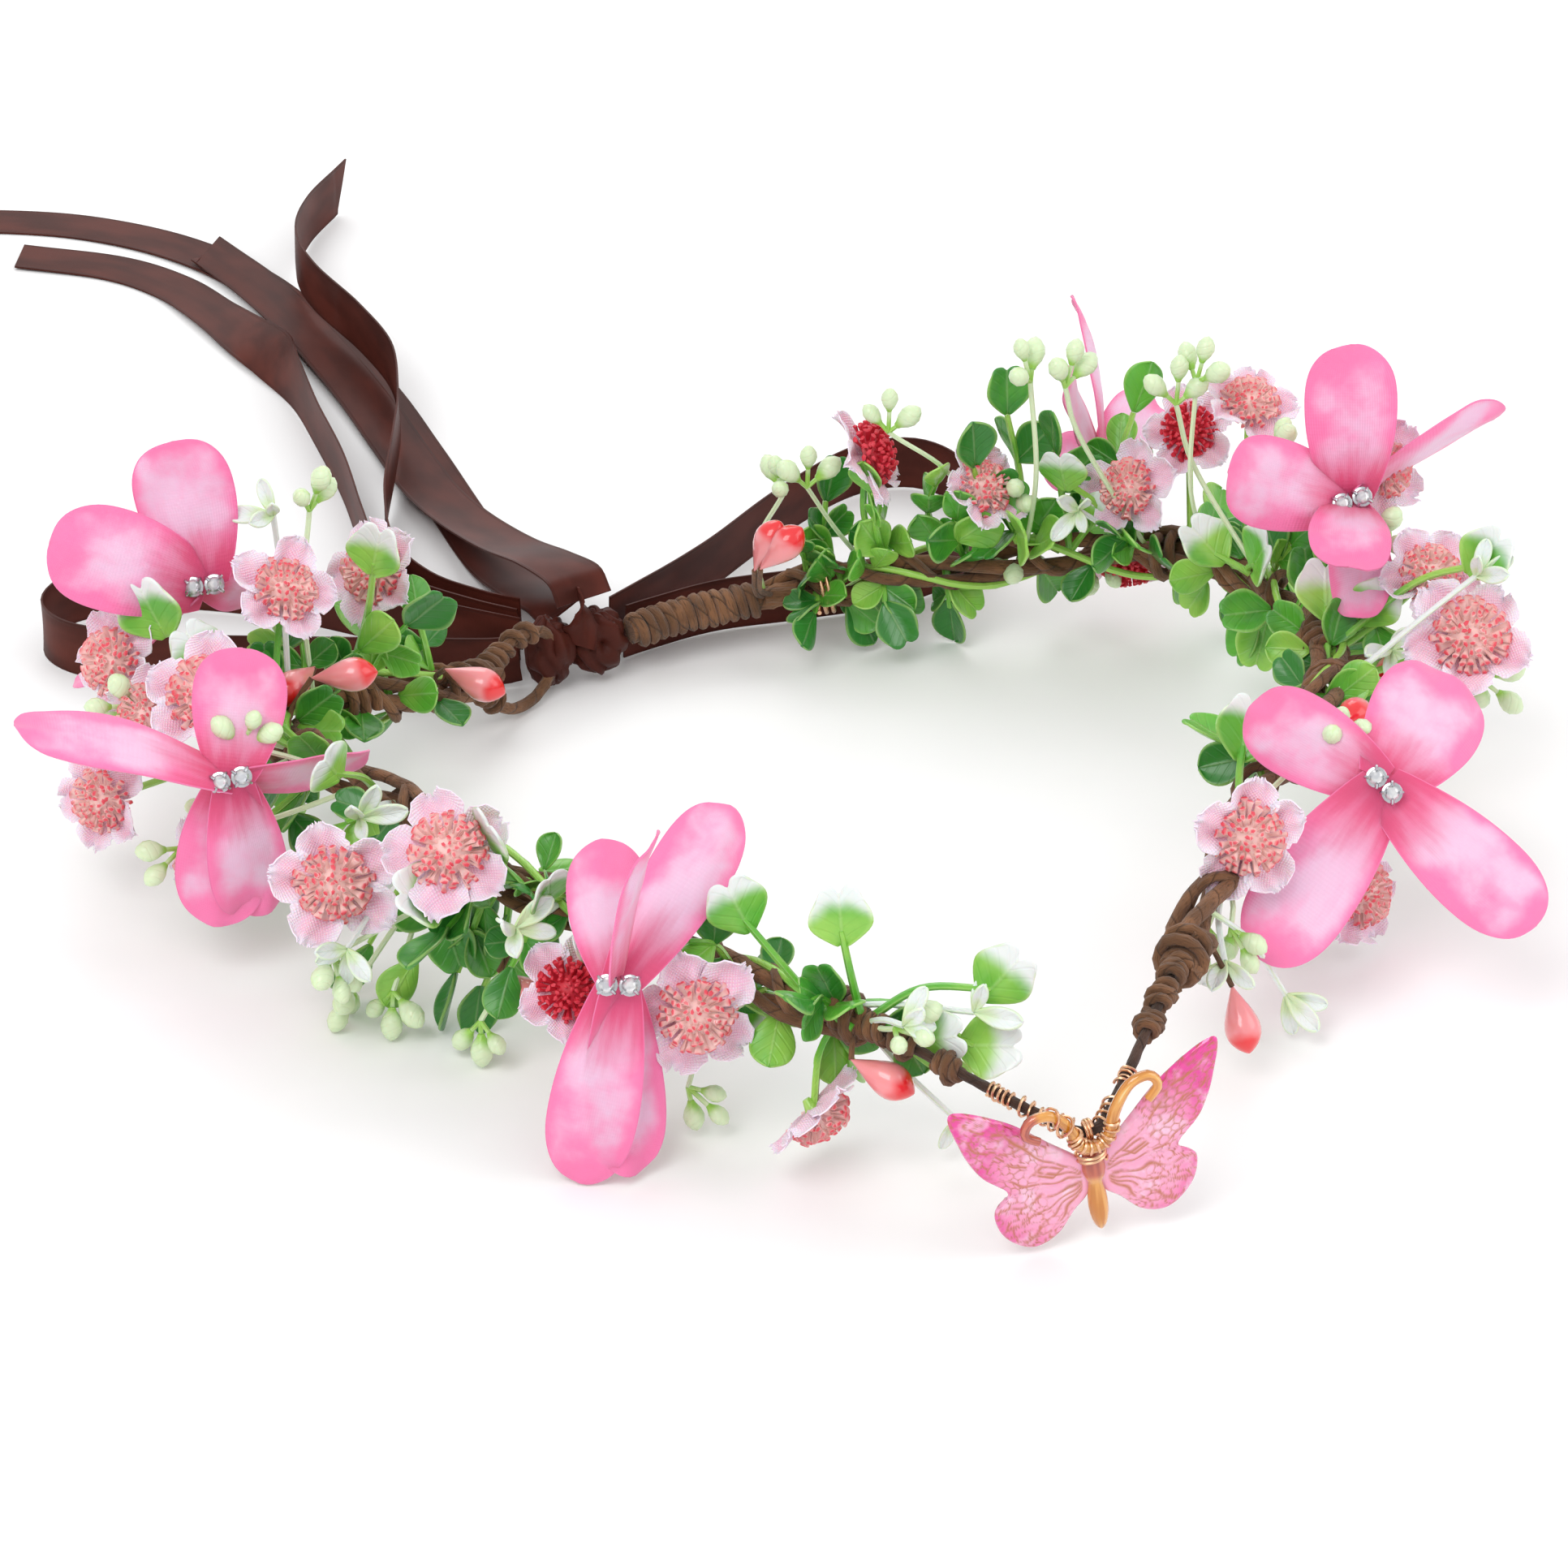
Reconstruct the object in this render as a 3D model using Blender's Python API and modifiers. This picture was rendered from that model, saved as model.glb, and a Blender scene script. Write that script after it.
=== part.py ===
"""Flower crown: a vine-and-wire hoop with blossoms, fabric butterflies and leaf sprigs,
tied at the back with a ribbon bow and carrying a hinged butterfly charm at the front.

The crown lies on a surface. +Z is up, the charm is at the front (-Y), the bow at the back.
Points are written in millimetres on the bench and go through bench(), which moves them
to the part's origin (middle of the crown's base) and turns them into metres.
"""
import math

import bmesh
import bpy
from mathutils import Matrix, Vector

# ---------------------------------------------------------------- driving dimensions
MM = 0.001
ORIGIN = Vector((-1.6, -21.4, 0.2))    # bench point, in mm, that becomes the part's origin
GAP = 0.3 * MM                         # clearance between touching pieces

STRAND_RADIUS = 1.35 * MM              # one paper-covered vine
STRAND_OFFSET = 1.5 * MM               # from the pair's centre to a strand's centre
STRAND_PITCH = 66.0 * MM               # length of one turn of the twisted pair
STRAND_STEP = 7.0 * MM                 # distance between the points of a strand
FRONT_WIRE_RADIUS = 0.8 * MM
WRAP_RADIUS = 4.0 * MM                 # outside of a paper wrap on a pair of vines
PAIR_HOLE = STRAND_RADIUS + STRAND_OFFSET + GAP
HANDLE_RADIUS = 3.3 * MM

RIBBON_WIDTH = 10.0 * MM
RIBBON_THICKNESS = 0.5 * MM
RIBBON_STEP = 8.0 * MM                 # distance between the points of a ribbon

WING_THICKNESS = 0.5 * MM
LEAF_THICKNESS = 0.8 * MM
STONE_RADIUS = 1.7 * MM
STONE_SPACING = 3.3 * MM
STONE_HEIGHT = 2.4 * MM
HUB_LIFT = 1.6 * MM                    # from a butterfly's hub to the underside of its stones

BLOSSOM_RADIUS = 8.5 * MM
STAMEN_RADIUS = 5.2 * MM
STEM_RADIUS = 0.7 * MM
PIP_RADIUS = 2.4 * MM
PIP_LENGTH = 10.0 * MM

CHARM_ROLL = math.radians(-8.0)        # the charm hangs slightly turned in its own plane
CHARM_THICKNESS = 1.6 * MM
CHARM_BODY_RADIUS = 2.1 * MM
CHARM_BODY_LENGTH = 15.5 * MM
CHARM_RING_RADIUS = 1.6 * MM
CHARM_RING_WIRE = 0.4 * MM

SIDES = 10                             # steps of a turned piece
OUT = Vector((-0.27, -0.82, 0.50)).normalized()   # towards the front, up: decorations face it

# ---------------------------------------------------------------- routes, in bench mm
APEX = (4.2, -127.0, 20.5)
LEFT_VINE = [
    (-21, -95.5, 26), (-33, -80, 26), (-40, -66, 26), (-53, -46, 26), (-62, -30, 26),
    (-72, -6, 26), (-80, 14, 25), (-81, 27, 23), (-74, 38, 20), (-58, 45, 16),
    (-45, 51, 13), (-37, 55, 11),
]
RIGHT_VINE = [
    (30, -96, 27), (47, -73, 27), (57, -54, 27), (74, -37, 27), (88, -14, 26),
    (92, 10, 24), (90, 33, 22), (80, 47, 20), (65, 56, 18), (45, 62, 15),
    (28, 67, 12), (16, 69, 10.5),
]
HANDLE = [(14.6, 69.2, 10.3), (8, 69.8, 9.6), (0, 69.6, 9.0), (-9, 67.8, 8.4)]
END_LOOP = [
    (-36.5, 57.5, 12.5), (-33, 60, 14), (-29, 62.6, 14.2), (-25.2, 64.6, 12.6),
    (-23.6, 65.4, 9), (-24.2, 64.6, 5), (-27.5, 62, 2.2), (-32, 58.8, 2), (-36, 56, 4.6),
]

# Ribbon routes: x, y, z and the lean of the ribbon's width (0 stands on edge, 90 lies flat).
BOW_LEFT = [
    (-27.5, 72.5, 6.5, 8), (-34, 79.5, 6, 4), (-46, 91, 5.6, 2), (-64, 107, 5.6, 0),
    (-82, 116, 5.6, 0), (-97, 115, 5.6, 0), (-104, 107, 5.6, 0), (-101, 97, 5.6, 0),
    (-88, 88.5, 5.6, 0), (-68, 81, 5.6, 0), (-48, 74.5, 5.6, 4), (-33.5, 69.2, 6, 8),
    (-29.0, 68.3, 6.5, 8),
]
BOW_RIGHT = [
    (-10.5, 75.5, 6.5, 0), (-4, 80.5, 6, 0), (12, 92, 5.6, 0), (30, 107, 5.6, 0),
    (48, 119, 5.6, 0), (60, 119.5, 5.6, 0), (66, 110, 5.6, 0), (65, 95, 5.6, 0),
    (57, 83, 5.6, 0), (44, 77.5, 5.6, 0), (26, 77, 5.6, 0), (10, 77.5, 5.6, 0),
    (-3, 74.8, 5.6, 0), (-8.5, 72.6, 6, 0),
]
TAIL_WIDE = [
    (-17.4, 67.0, 16.6, 76), (-18.2, 71, 19.6, 84), (-20, 83, 17.2, 90), (-21.8, 101, 11.4, 90),
    (-23.5, 122, 6, 90), (-24.5, 142, 2.6, 90), (-25, 164, 1.7, 90), (-26, 186, 1.7, 90),
    (-28.5, 212, 1.7, 90), (-32.5, 236, 1.7, 90), (-38, 255, 1.7, 90),
]
TAIL_UNDER = [
    (-18.0, 77.0, 9.5, 60), (-18.5, 84, 8, 80), (-20, 96, 4.6, 90), (-21, 112, 1.4, 90),
    (-21.5, 135, 0.7, 90), (-22, 160, 0.7, 90), (-23, 186, 0.7, 90), (-26, 212, 0.7, 90),
    (-32.5, 240, 0.7, 90), (-43, 260, 0.7, 90), (-57, 274, 0.7, 90), (-73, 282.5, 0.7, 90),
    (-90, 287, 0.7, 90),
]
TAIL_LEFT = [
    (-26.5, 76.8, 6.2, 0), (-33, 84, 5.8, 0), (-40.5, 94, 5.6, 0), (-43.5, 106, 5.6, 0),
    (-42, 124, 5.6, 0), (-39.5, 146, 5.6, 0), (-38.8, 168, 5.6, 0), (-38.4, 186, 5.7, 10),
    (-39.0, 200, 4.9, 40), (-40.8, 214, 2.8, 70), (-43.5, 228, 1.6, 88),
    (-48, 243, 0.8, 90), (-57, 255, 0.8, 90), (-73, 265.5, 0.8, 90),
]
TAIL_CURLED = [
    (-25.0, 80.4, 6.2, 0), (-30.8, 86.8, 5.8, 0), (-37, 96, 5.6, 0), (-39.8, 110, 5.6, 0),
    (-36.6, 128, 6.4, 0), (-30, 146, 8.6, 0), (-24.6, 163, 8.8, 0), (-21.2, 181, 8.8, 0),
    (-22.4, 199, 8.8, 0), (-25.8, 219, 8.6, 0), (-24.8, 237, 7.4, 0), (-18, 254, 5.8, 0),
    (-8, 267, 5.6, 0),
]

# Fabric butterflies: hub, body direction, and lobes as (tip offset, width, roll from OUT).
BUTTERFLIES = [
    ("a", (-91, 35.5, 47), (10, -4, 2), [
        ((-4, 2, 26), 15, 0), ((-26, -1, 13), 15, 0), ((-19, 18, -23), 13, 75), ((12, 12, -8), 9, 40)]),
    ("b", (-99, -13, 38), (11, -3, 3), [
        ((-34, 4, 13), 12, 55), ((4, 6, 20), 14, 0), ((24, 8, -4), 11, 70), ((-4, 1, -27), 15, 0)]),
    ("c", (-57, -86, 34), (11, -4, 0), [
        ((4, 22, 13), 13, 0), ((24, 20, 16), 13, 0), ((4, -9, 30), 11, 80), ((-7, -1, -33.3), 15, 0)]),
    ("d", (74, -71, 38), (8, -6, -9), [
        ((-15, 20, 6), 13, 0), ((-24, -10, -22), 16, 0), ((19, 19, 6), 14, 0), ((16, -26, -14), 16, 0)]),
    ("e", (99, 6, 47), (11, -3, 4), [
        ((-24, -4, 11), 14, 0), ((-1, 1, 29), 14, 0), ((31, 8, 8), 12, 75), ((-9, -21, -1), 14, 0)]),
    ("f", (77, 65, 29), (11, -4, 0), [
        ((1, 22, 22), 11, 80), ((-9, -6, 22), 10, 30), ((14, 14, 4), 11, 0), ((-6, 16, -6), 11, 0)]),
]

# Blossoms and pips stand on stems that leave the nearest point of a vine.
BLOSSOMS = [
    ("01", (-80, 25, 50)), ("02", (-108, 33, 37)), ("03", (-60, 46, 40)), ("04", (-98, 9, 42)),
    ("05", (-88, -33, 28)), ("06", (-73, -47, 39)), ("07", (-45, -87, 27)), ("08", (-29, -98, 12)),
    ("09", (49, -77, 36)), ("10", (108, -26, 36)), ("11", (91, 33, 54)), ("12", (33, 61, 40)),
]
PIPS = [("left", (-47, 41, 20)), ("right", (43, -94, 15))]

# Sprigs: centre and leaf tips, both in bench mm; the stem runs back to the nearest vine.
SPRIGS = [
    ("back_left", (-68, 51, 27), [
        (-82, 60, 36), (-70, 64, 30), (-56, 60, 34), (-56, 51, 24), (-70, 60, 13), (-84, 50, 30)]),
    ("left", (-87, 1, 17), [
        (-100, 3, 14), (-90, 14, 5), (-78, 10, 9), (-84, -8, 0.6), (-96, -10, 5)]),
    ("front", (-30, -95, 33), [
        (-36, -86, 43), (-27, -86, 44), (-19, -97, 40), (-24, -106, 36), (-36, -106, 40)]),
    ("right", (88, -22, 14), [
        (97, -12, 7), (101, -26, 12), (92, -34, 0.6), (80, -36, 6), (76, -22, 7)]),
    ("back_right", (56, 68, 27), [
        (44, 72, 36), (50, 60, 42), (64, 71, 38), (60, 80, 28), (50, 84, 22), (40, 76, 20)]),
]

# Charm wing outline, right side, in mm from the top of the charm's head (x out, y up).
CHARM_WING = [
    (2.6, -3.2), (6.5, 2.0), (13.0, 8.4), (21.0, 12.8), (20.4, 6.5), (18.0, 0.5), (14.6, -4.4),
    (16.2, -7.6), (14.8, -12.0), (11.0, -15.2), (7.0, -14.6), (4.2, -11.4), (2.6, -8.0),
]
CHARM_ANTENNAE = [
    (-8.6, 4.6), (-10.6, 6.4), (-9.4, 8.6), (-6.2, 8.4), (-3.6, 5.4), (-2.6, 2.2), (-1.0, 0.9),
    (1.0, 0.9), (2.6, 2.4), (3.8, 6.2), (6.6, 10.0), (9.8, 10.6), (11.0, 8.4), (9.2, 6.4),
]

COLOURS = {
    "vine_paper": ((0.15, 0.08, 0.04), 0.8, 0.0),
    "dark_wire": ((0.05, 0.025, 0.015), 0.5, 0.2),
    "copper_wire": ((0.85, 0.45, 0.25), 0.3, 1.0),
    "satin_ribbon": ((0.07, 0.015, 0.012), 0.35, 0.0),
    "wing_satin": ((0.95, 0.35, 0.55), 0.4, 0.0),
    "crystal": ((0.85, 0.87, 0.9), 0.1, 0.4),
    "blossom_cloth": ((0.92, 0.55, 0.68), 0.7, 0.0),
    "pip_gloss": ((0.85, 0.12, 0.12), 0.25, 0.0),
    "leaf_plastic": ((0.08, 0.3, 0.05), 0.45, 0.0),
    "charm_resin": ((0.85, 0.2, 0.5), 0.15, 0.0),
    "amber_resin": ((0.85, 0.45, 0.12), 0.12, 0.0),
}


# ---------------------------------------------------------------- helpers
def bench(point):
    """A bench point in millimetres as a point of the part in metres."""
    return (Vector(point[:3]) - ORIGIN) * MM


def clear_scene():
    for item in list(bpy.data.objects):
        bpy.data.objects.remove(item, do_unlink=True)


def collection(name):
    group = bpy.data.collections.new(name)
    bpy.context.scene.collection.children.link(group)
    return group


def material(name):
    found = bpy.data.materials.get(name)
    if found:
        return found
    colour, roughness, metallic = COLOURS[name]
    made = bpy.data.materials.new(name)
    made.use_nodes = True
    shader = made.node_tree.nodes["Principled BSDF"]
    shader.inputs["Base Color"].default_value = (*colour, 1.0)
    shader.inputs["Roughness"].default_value = roughness
    shader.inputs["Metallic"].default_value = metallic
    made.diffuse_color = (*colour, 1.0)
    return made


def add(name, data, slot, group):
    data.materials.append(material(slot))
    item = bpy.data.objects.new(name, data)
    group.objects.link(item)
    return item


def smooth_path(points, step):
    """Evenly spaced points on a Catmull-Rom curve through the given points."""
    ends = [2 * points[0] - points[1], *points, 2 * points[-1] - points[-2]]
    fine = []
    for a, b, c, d in zip(ends, ends[1:], ends[2:], ends[3:]):
        for part in range(16):
            t = part / 16
            fine.append(0.5 * (2 * b + (c - a) * t + (2 * a - 5 * b + 4 * c - d) * t * t
                               + (3 * b - a - 3 * c + d) * t ** 3))
    fine.append(points[-1].copy())
    lengths = [0.0]
    for a, b in zip(fine, fine[1:]):
        lengths.append(lengths[-1] + (b - a).length)
    count = max(2, round(lengths[-1] / step))
    result = []
    at = 0
    for index in range(count + 1):
        wanted = lengths[-1] * index / count
        while at < len(fine) - 2 and lengths[at + 1] < wanted:
            at += 1
        share = (wanted - lengths[at]) / (lengths[at + 1] - lengths[at])
        result.append(fine[at].lerp(fine[at + 1], min(1.0, share)))
    return result


def poly_curve(name, points, radius, resolution=1):
    curve = bpy.data.curves.new(name, "CURVE")
    curve.dimensions = "3D"
    curve.bevel_depth = radius
    curve.bevel_resolution = resolution
    curve.use_fill_caps = True
    spline = curve.splines.new("POLY")
    spline.points.add(len(points) - 1)
    for spot, point in zip(spline.points, points):
        spot.co = (*point, 1.0)
    return curve


def wire(name, points, radius, slot, group, resolution=1):
    return add(name, poly_curve(name, points, radius, resolution), slot, group)


def nearest(path, point):
    return min(path, key=lambda spot: (spot - point).length)


def aim(item, origin, direction):
    """Stand a piece modelled along +Z at origin, with its +Z along direction."""
    item.location = origin
    item.rotation_mode = "QUATERNION"
    item.rotation_quaternion = direction.to_track_quat("Z", "Y")


def turned(name, profile, slot, group, sides=SIDES):
    """A turned piece from (radius, height) pairs that run down its outer side."""
    mesh = bpy.data.meshes.new(name)
    work = bmesh.new()
    spots = [work.verts.new((radius, 0.0, height)) for radius, height in profile]
    for a, b in zip(spots, spots[1:]):
        work.edges.new((a, b))
    if min(radius for radius, _ in profile) > 0:
        work.edges.new((spots[-1], spots[0]))
    work.to_mesh(mesh)
    work.free()
    item = add(name, mesh, slot, group)
    screw = item.modifiers.new("turn", "SCREW")
    screw.steps = sides
    screw.render_steps = sides
    screw.use_merge_vertices = True
    screw.merge_threshold = 0.00001
    return item


def sleeve(name, start, end, hole, radius, slot, group, sides=SIDES):
    """A short tube between two points, with a rounded outside."""
    length = (end - start).length
    edge = 0.3 * (radius - hole)
    profile = [
        (hole, length), (radius - edge, length), (radius, length - edge), (radius, edge),
        (radius - edge, 0.0), (hole, 0.0)]
    item = turned(name, profile, slot, group, sides)
    aim(item, start, end - start)
    return item


def ribbon(name, route, group):
    """A flat ribbon along a route whose fourth value leans its width from upright."""
    points = [Vector((*bench(spot), spot[3] * MM)) for spot in route]
    points = smooth_path(points, RIBBON_STEP)
    curve = bpy.data.curves.new(name, "CURVE")
    curve.dimensions = "3D"
    curve.twist_mode = "Z_UP"
    curve.extrude = RIBBON_WIDTH / 2
    spline = curve.splines.new("POLY")
    spline.points.add(len(points) - 1)
    for spot, point in zip(spline.points, points):
        spot.co = (point[0], point[1], point[2], 1.0)
        spot.tilt = math.radians(point[3] / MM)
    item = add(name, curve, "satin_ribbon", group)
    wall = item.modifiers.new("thickness", "SOLIDIFY")
    wall.thickness = RIBBON_THICKNESS
    wall.offset = 0.0
    return item


def lobed_shell(name, hub, facing, lobes, hub_radius, thickness, slot, group, rows=5):
    """A thin shell of rounded lobes round a small hub: wings of cloth, or a leaf sprig.

    Each lobe is (tip offset, width, roll), the roll turning it about its own length.
    """
    turn = facing.to_track_quat("Z", "Y")
    across = turn @ Vector((1, 0, 0))
    along = turn @ Vector((0, 1, 0))
    ordered = sorted(lobes, key=lambda lobe: math.atan2(lobe[0].dot(along), lobe[0].dot(across)))
    angles = [math.atan2(lobe[0].dot(along), lobe[0].dot(across)) for lobe in ordered]
    work = bmesh.new()
    corners = []
    for index, angle in enumerate(angles):
        before = angles[index - 1]
        middle = before + ((angle - before) % math.tau) / 2
        corners.append(work.verts.new(
            hub + hub_radius * (math.cos(middle) * across + math.sin(middle) * along)))
    work.faces.new(corners)
    for index, (offset, width, roll) in enumerate(ordered):
        low = corners[index]
        high = corners[(index + 1) % len(corners)]
        base = (low.co + high.co) / 2
        length = offset.normalized()
        normal = (facing - facing.dot(length) * length).normalized()
        normal = Matrix.Rotation(roll, 3, length) @ normal
        side = normal.cross(length)
        if side.dot(high.co - low.co) < 0:
            side = -side
        for row in range(1, rows + 1):
            share = row / rows
            half = width / 2 * max(0.28, math.sin(math.pi * share ** 1.25) ** 0.7 if row < rows else 0)
            blend = min(1.0, share * 2.2)
            edge = ((high.co - low.co).normalized() * (1 - blend) + side * blend).normalized()
            middle = base.lerp(hub + offset, share)
            new_low = work.verts.new(middle - edge * half)
            new_high = work.verts.new(middle + edge * half)
            work.faces.new((high, low, new_low, new_high))
            low = new_low
            high = new_high
    bmesh.ops.recalc_face_normals(work, faces=work.faces)
    mesh = bpy.data.meshes.new(name)
    work.to_mesh(mesh)
    work.free()
    item = add(name, mesh, slot, group)
    wall = item.modifiers.new("thickness", "SOLIDIFY")
    wall.thickness = thickness
    wall.offset = 0.0
    return item


# ---------------------------------------------------------------- the hoop
def twisted_pair(side, route, group):
    """Two paper-covered strands twisted round the hoop's centre line."""
    path = smooth_path([bench(spot) for spot in route], STRAND_STEP)
    for name, phase in (("outer", 0.0), ("inner", math.pi)):
        points = []
        for index, point in enumerate(path):
            ahead = path[min(index + 1, len(path) - 1)]
            behind = path[max(index - 1, 0)]
            tangent = (ahead - behind).normalized()
            sideways = tangent.cross(Vector((0, 0, 1))).normalized()
            upward = sideways.cross(tangent)
            angle = math.tau * index * STRAND_STEP / STRAND_PITCH + phase
            points.append(point + STRAND_OFFSET * (math.cos(angle) * sideways + math.sin(angle) * upward))
        wire(f"vine_{side}_{name}", points, STRAND_RADIUS, "vine_paper", group)
    return path


def front_wire(group):
    """The thin wire that makes the V at the front, with its paper wraps and bindings."""
    apex = bench(APEX)
    half = Vector((2.2 * MM, 0, 0))
    left_end = bench((-19.4, -98.0, 26.0))
    right_end = bench((28.2, -98.6, 27.0))
    points = [left_end, apex - half, apex + half, right_end]
    wire("front_wire", points, FRONT_WIRE_RADIUS, "dark_wire", group, 2)
    hole = FRONT_WIRE_RADIUS + GAP
    for side, start, end in (("left", apex - half, left_end), ("right", apex + half, right_end)):
        sleeve(f"wire_binding_{side}", start.lerp(end, 0.08), start.lerp(end, 0.38), hole,
               hole + 0.6 * MM, "copper_wire", group)
        sleeve(f"paper_wrap_front_{side}", start.lerp(end, 0.60), start.lerp(end, 0.78), hole,
               2.9 * MM, "vine_paper", group)


def hoop(group):
    front_wire(group)
    left = twisted_pair("left", LEFT_VINE, group)
    right = twisted_pair("right", RIGHT_VINE, group)
    for name, path, at in (("left", left, 0), ("right", right, 0), ("left_end", left, -3)):
        start = path[at]
        end = path[at + 1]
        sleeve(f"paper_wrap_{name}", start, end, PAIR_HOLE + 0.25 * MM, WRAP_RADIUS, "vine_paper", group)
    for index, at in enumerate((-2, -3)):
        bpy.ops.mesh.primitive_torus_add(
            major_radius=PAIR_HOLE + 0.75 * MM, minor_radius=0.35 * MM, major_segments=16,
            minor_segments=5)
        ring = bpy.context.object
        ring.name = f"gold_ring_{index + 1}"
        ring.data.materials.append(material("copper_wire"))
        bpy.context.collection.objects.unlink(ring)
        group.objects.link(ring)
        aim(ring, right[at], right[at] - right[at - 1])
    wire("handle_wrap", smooth_path([bench(spot) for spot in HANDLE], 4 * MM), HANDLE_RADIUS,
         "vine_paper", group, 2)
    loop = smooth_path([bench(spot) for spot in END_LOOP], 3 * MM)
    wire("end_loop", loop, 0.9 * MM, "vine_paper", group)
    return left, right, loop


# ---------------------------------------------------------------- the ribbon
def as_mesh(item, group):
    """Turn a curve object into a closed mesh object in the given collection."""
    bpy.context.view_layer.update()
    seen = item.evaluated_get(bpy.context.evaluated_depsgraph_get())
    mesh = bpy.data.meshes.new_from_object(seen)
    work = bmesh.new()
    work.from_mesh(mesh)
    bmesh.ops.remove_doubles(work, verts=work.verts, dist=0.00001)
    work.to_mesh(mesh)
    work.free()
    made = bpy.data.objects.new(item.name + "_mesh", mesh)
    made.matrix_world = item.matrix_world
    group.objects.link(made)
    bpy.data.objects.remove(item, do_unlink=True)
    return made


def knot(loop, group, cutters):
    """Two gathered lumps of ribbon: one round the end loop, one against the handle."""
    lumps = (
        ("ribbon_knot_left", (-23.8, 67.2, 7.6), (4.2, 4.2, 7.4)),
        ("ribbon_knot_right", (-14.6, 69.0, 7.6), (4.4, 4.4, 7.2)),
    )
    for name, centre, size in lumps:
        bpy.ops.mesh.primitive_ico_sphere_add(subdivisions=2, radius=1.0)
        lump = bpy.context.object
        lump.name = name
        lump.data.transform(Matrix.Diagonal((*[value * MM for value in size], 1.0)))
        lump.location = bench(centre)
        lump.data.materials.append(material("satin_ribbon"))
        bpy.context.collection.objects.unlink(lump)
        group.objects.link(lump)
    cutter = wire("loop_cutter", loop, 0.9 * MM + GAP, "vine_paper", cutters)
    cutter = as_mesh(cutter, cutters)
    cutter.hide_render = True
    cutter.display_type = "WIRE"
    cut = bpy.data.objects["ribbon_knot_left"].modifiers.new("loop hole", "BOOLEAN")
    cut.operation = "DIFFERENCE"
    cut.object = cutter


def ribbons(group):
    ribbon("bow_left", BOW_LEFT, group)
    ribbon("bow_right", BOW_RIGHT, group)
    ribbon("tail_wide", TAIL_WIDE, group)
    ribbon("tail_under", TAIL_UNDER, group)
    ribbon("tail_left", TAIL_LEFT, group)
    ribbon("tail_curled", TAIL_CURLED, group)


# ---------------------------------------------------------------- decorations
def butterflies(group):
    for name, hub, body, lobes in BUTTERFLIES:
        centre = bench(hub)
        parts = [(Vector(tip) * MM, width * MM, math.radians(roll)) for tip, width, roll in lobes]
        lobed_shell(f"butterfly_{name}_wings", centre, OUT, parts, 2.6 * MM, WING_THICKNESS,
                    "wing_satin", group)
        stones(f"butterfly_{name}_stones", centre, Vector(body).normalized(), group)


def stones(name, centre, body, group):
    """Two set stones in joined cups, lying on a butterfly's hub."""
    curve = bpy.data.curves.new(name, "CURVE")
    curve.dimensions = "2D"
    curve.fill_mode = "BOTH"
    curve.extrude = STONE_HEIGHT / 2
    spline = curve.splines.new("POLY")
    outline = []
    for sign in (1, -1):
        for step in range(9):
            angle = math.radians(-120 + 30 * step) + (0 if sign > 0 else math.pi)
            outline.append((sign * STONE_SPACING / 2 + STONE_RADIUS * math.cos(angle),
                            STONE_RADIUS * math.sin(angle)))
    spline.points.add(len(outline) - 1)
    for spot, (x, y) in zip(spline.points, outline):
        spot.co = (x, y, 0.0, 1.0)
    spline.use_cyclic_u = True
    item = add(name, curve, "crystal", group)
    along = (body - body.dot(OUT) * OUT).normalized()
    frame = Matrix((along, OUT.cross(along), OUT)).transposed().to_4x4()
    lift = WING_THICKNESS / 2 + HUB_LIFT + STONE_HEIGHT / 2
    item.matrix_world = Matrix.Translation(centre + OUT * lift) @ frame


def stem_root(paths, head):
    """Where a stem leaves the vine: just clear of the pair, on the side of its head."""
    spots = [nearest(path[2:-3], head) for path in paths]
    spot = nearest(spots, head)
    return spot + (head - spot).normalized() * (PAIR_HOLE + STEM_RADIUS)


def blossoms(paths, group):
    for name, place in BLOSSOMS:
        head = bench(place)
        root = stem_root(paths, head)
        stem = (head - root).length
        profile = [
            (0.0, stem + 3.0 * MM), (0.6 * STAMEN_RADIUS, stem + 2.6 * MM), (STAMEN_RADIUS, stem + 0.8 * MM),
            (BLOSSOM_RADIUS, stem + 1.2 * MM), (BLOSSOM_RADIUS, stem + 0.5 * MM),
            (2.0 * MM, stem - 1.0 * MM), (STEM_RADIUS, stem - 2.2 * MM), (STEM_RADIUS, 0.0), (0.0, 0.0)]
        item = turned(f"blossom_{name}", profile, "blossom_cloth", group)
        aim(item, root, head - root)


def pips(paths, group):
    for name, place in PIPS:
        head = bench(place)
        root = stem_root(paths, head)
        stem = (head - root).length - PIP_LENGTH / 2
        heights = ((0.0, 1.0), (0.62, 0.9), (1.0, 0.68), (0.82, 0.4), (0.45, 0.12))
        profile = [(share * PIP_RADIUS, stem + PIP_LENGTH * height) for share, height in heights]
        profile += [(STEM_RADIUS, stem), (STEM_RADIUS, 0.0), (0.0, 0.0)]
        item = turned(f"pip_{name}", profile, "pip_gloss", group, 8)
        aim(item, root, head - root)


def sprigs(paths, group):
    for name, place, tips in SPRIGS:
        centre = bench(place)
        root = stem_root(paths, centre)
        lobes = [(bench(tip) - centre, 7.5 * MM, 0.0) for tip in tips]
        lobes.append((root - centre, 1.6 * MM, 0.0))
        facing = sum((lobe[0] for lobe in lobes[:-1]), Vector()).normalized()
        if facing.dot(root - centre) > 0:
            facing = (centre - root).normalized()
        lobed_shell(f"sprig_{name}", centre, facing, lobes, 2.2 * MM, LEAF_THICKNESS,
                    "leaf_plastic", group, 4)


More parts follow.
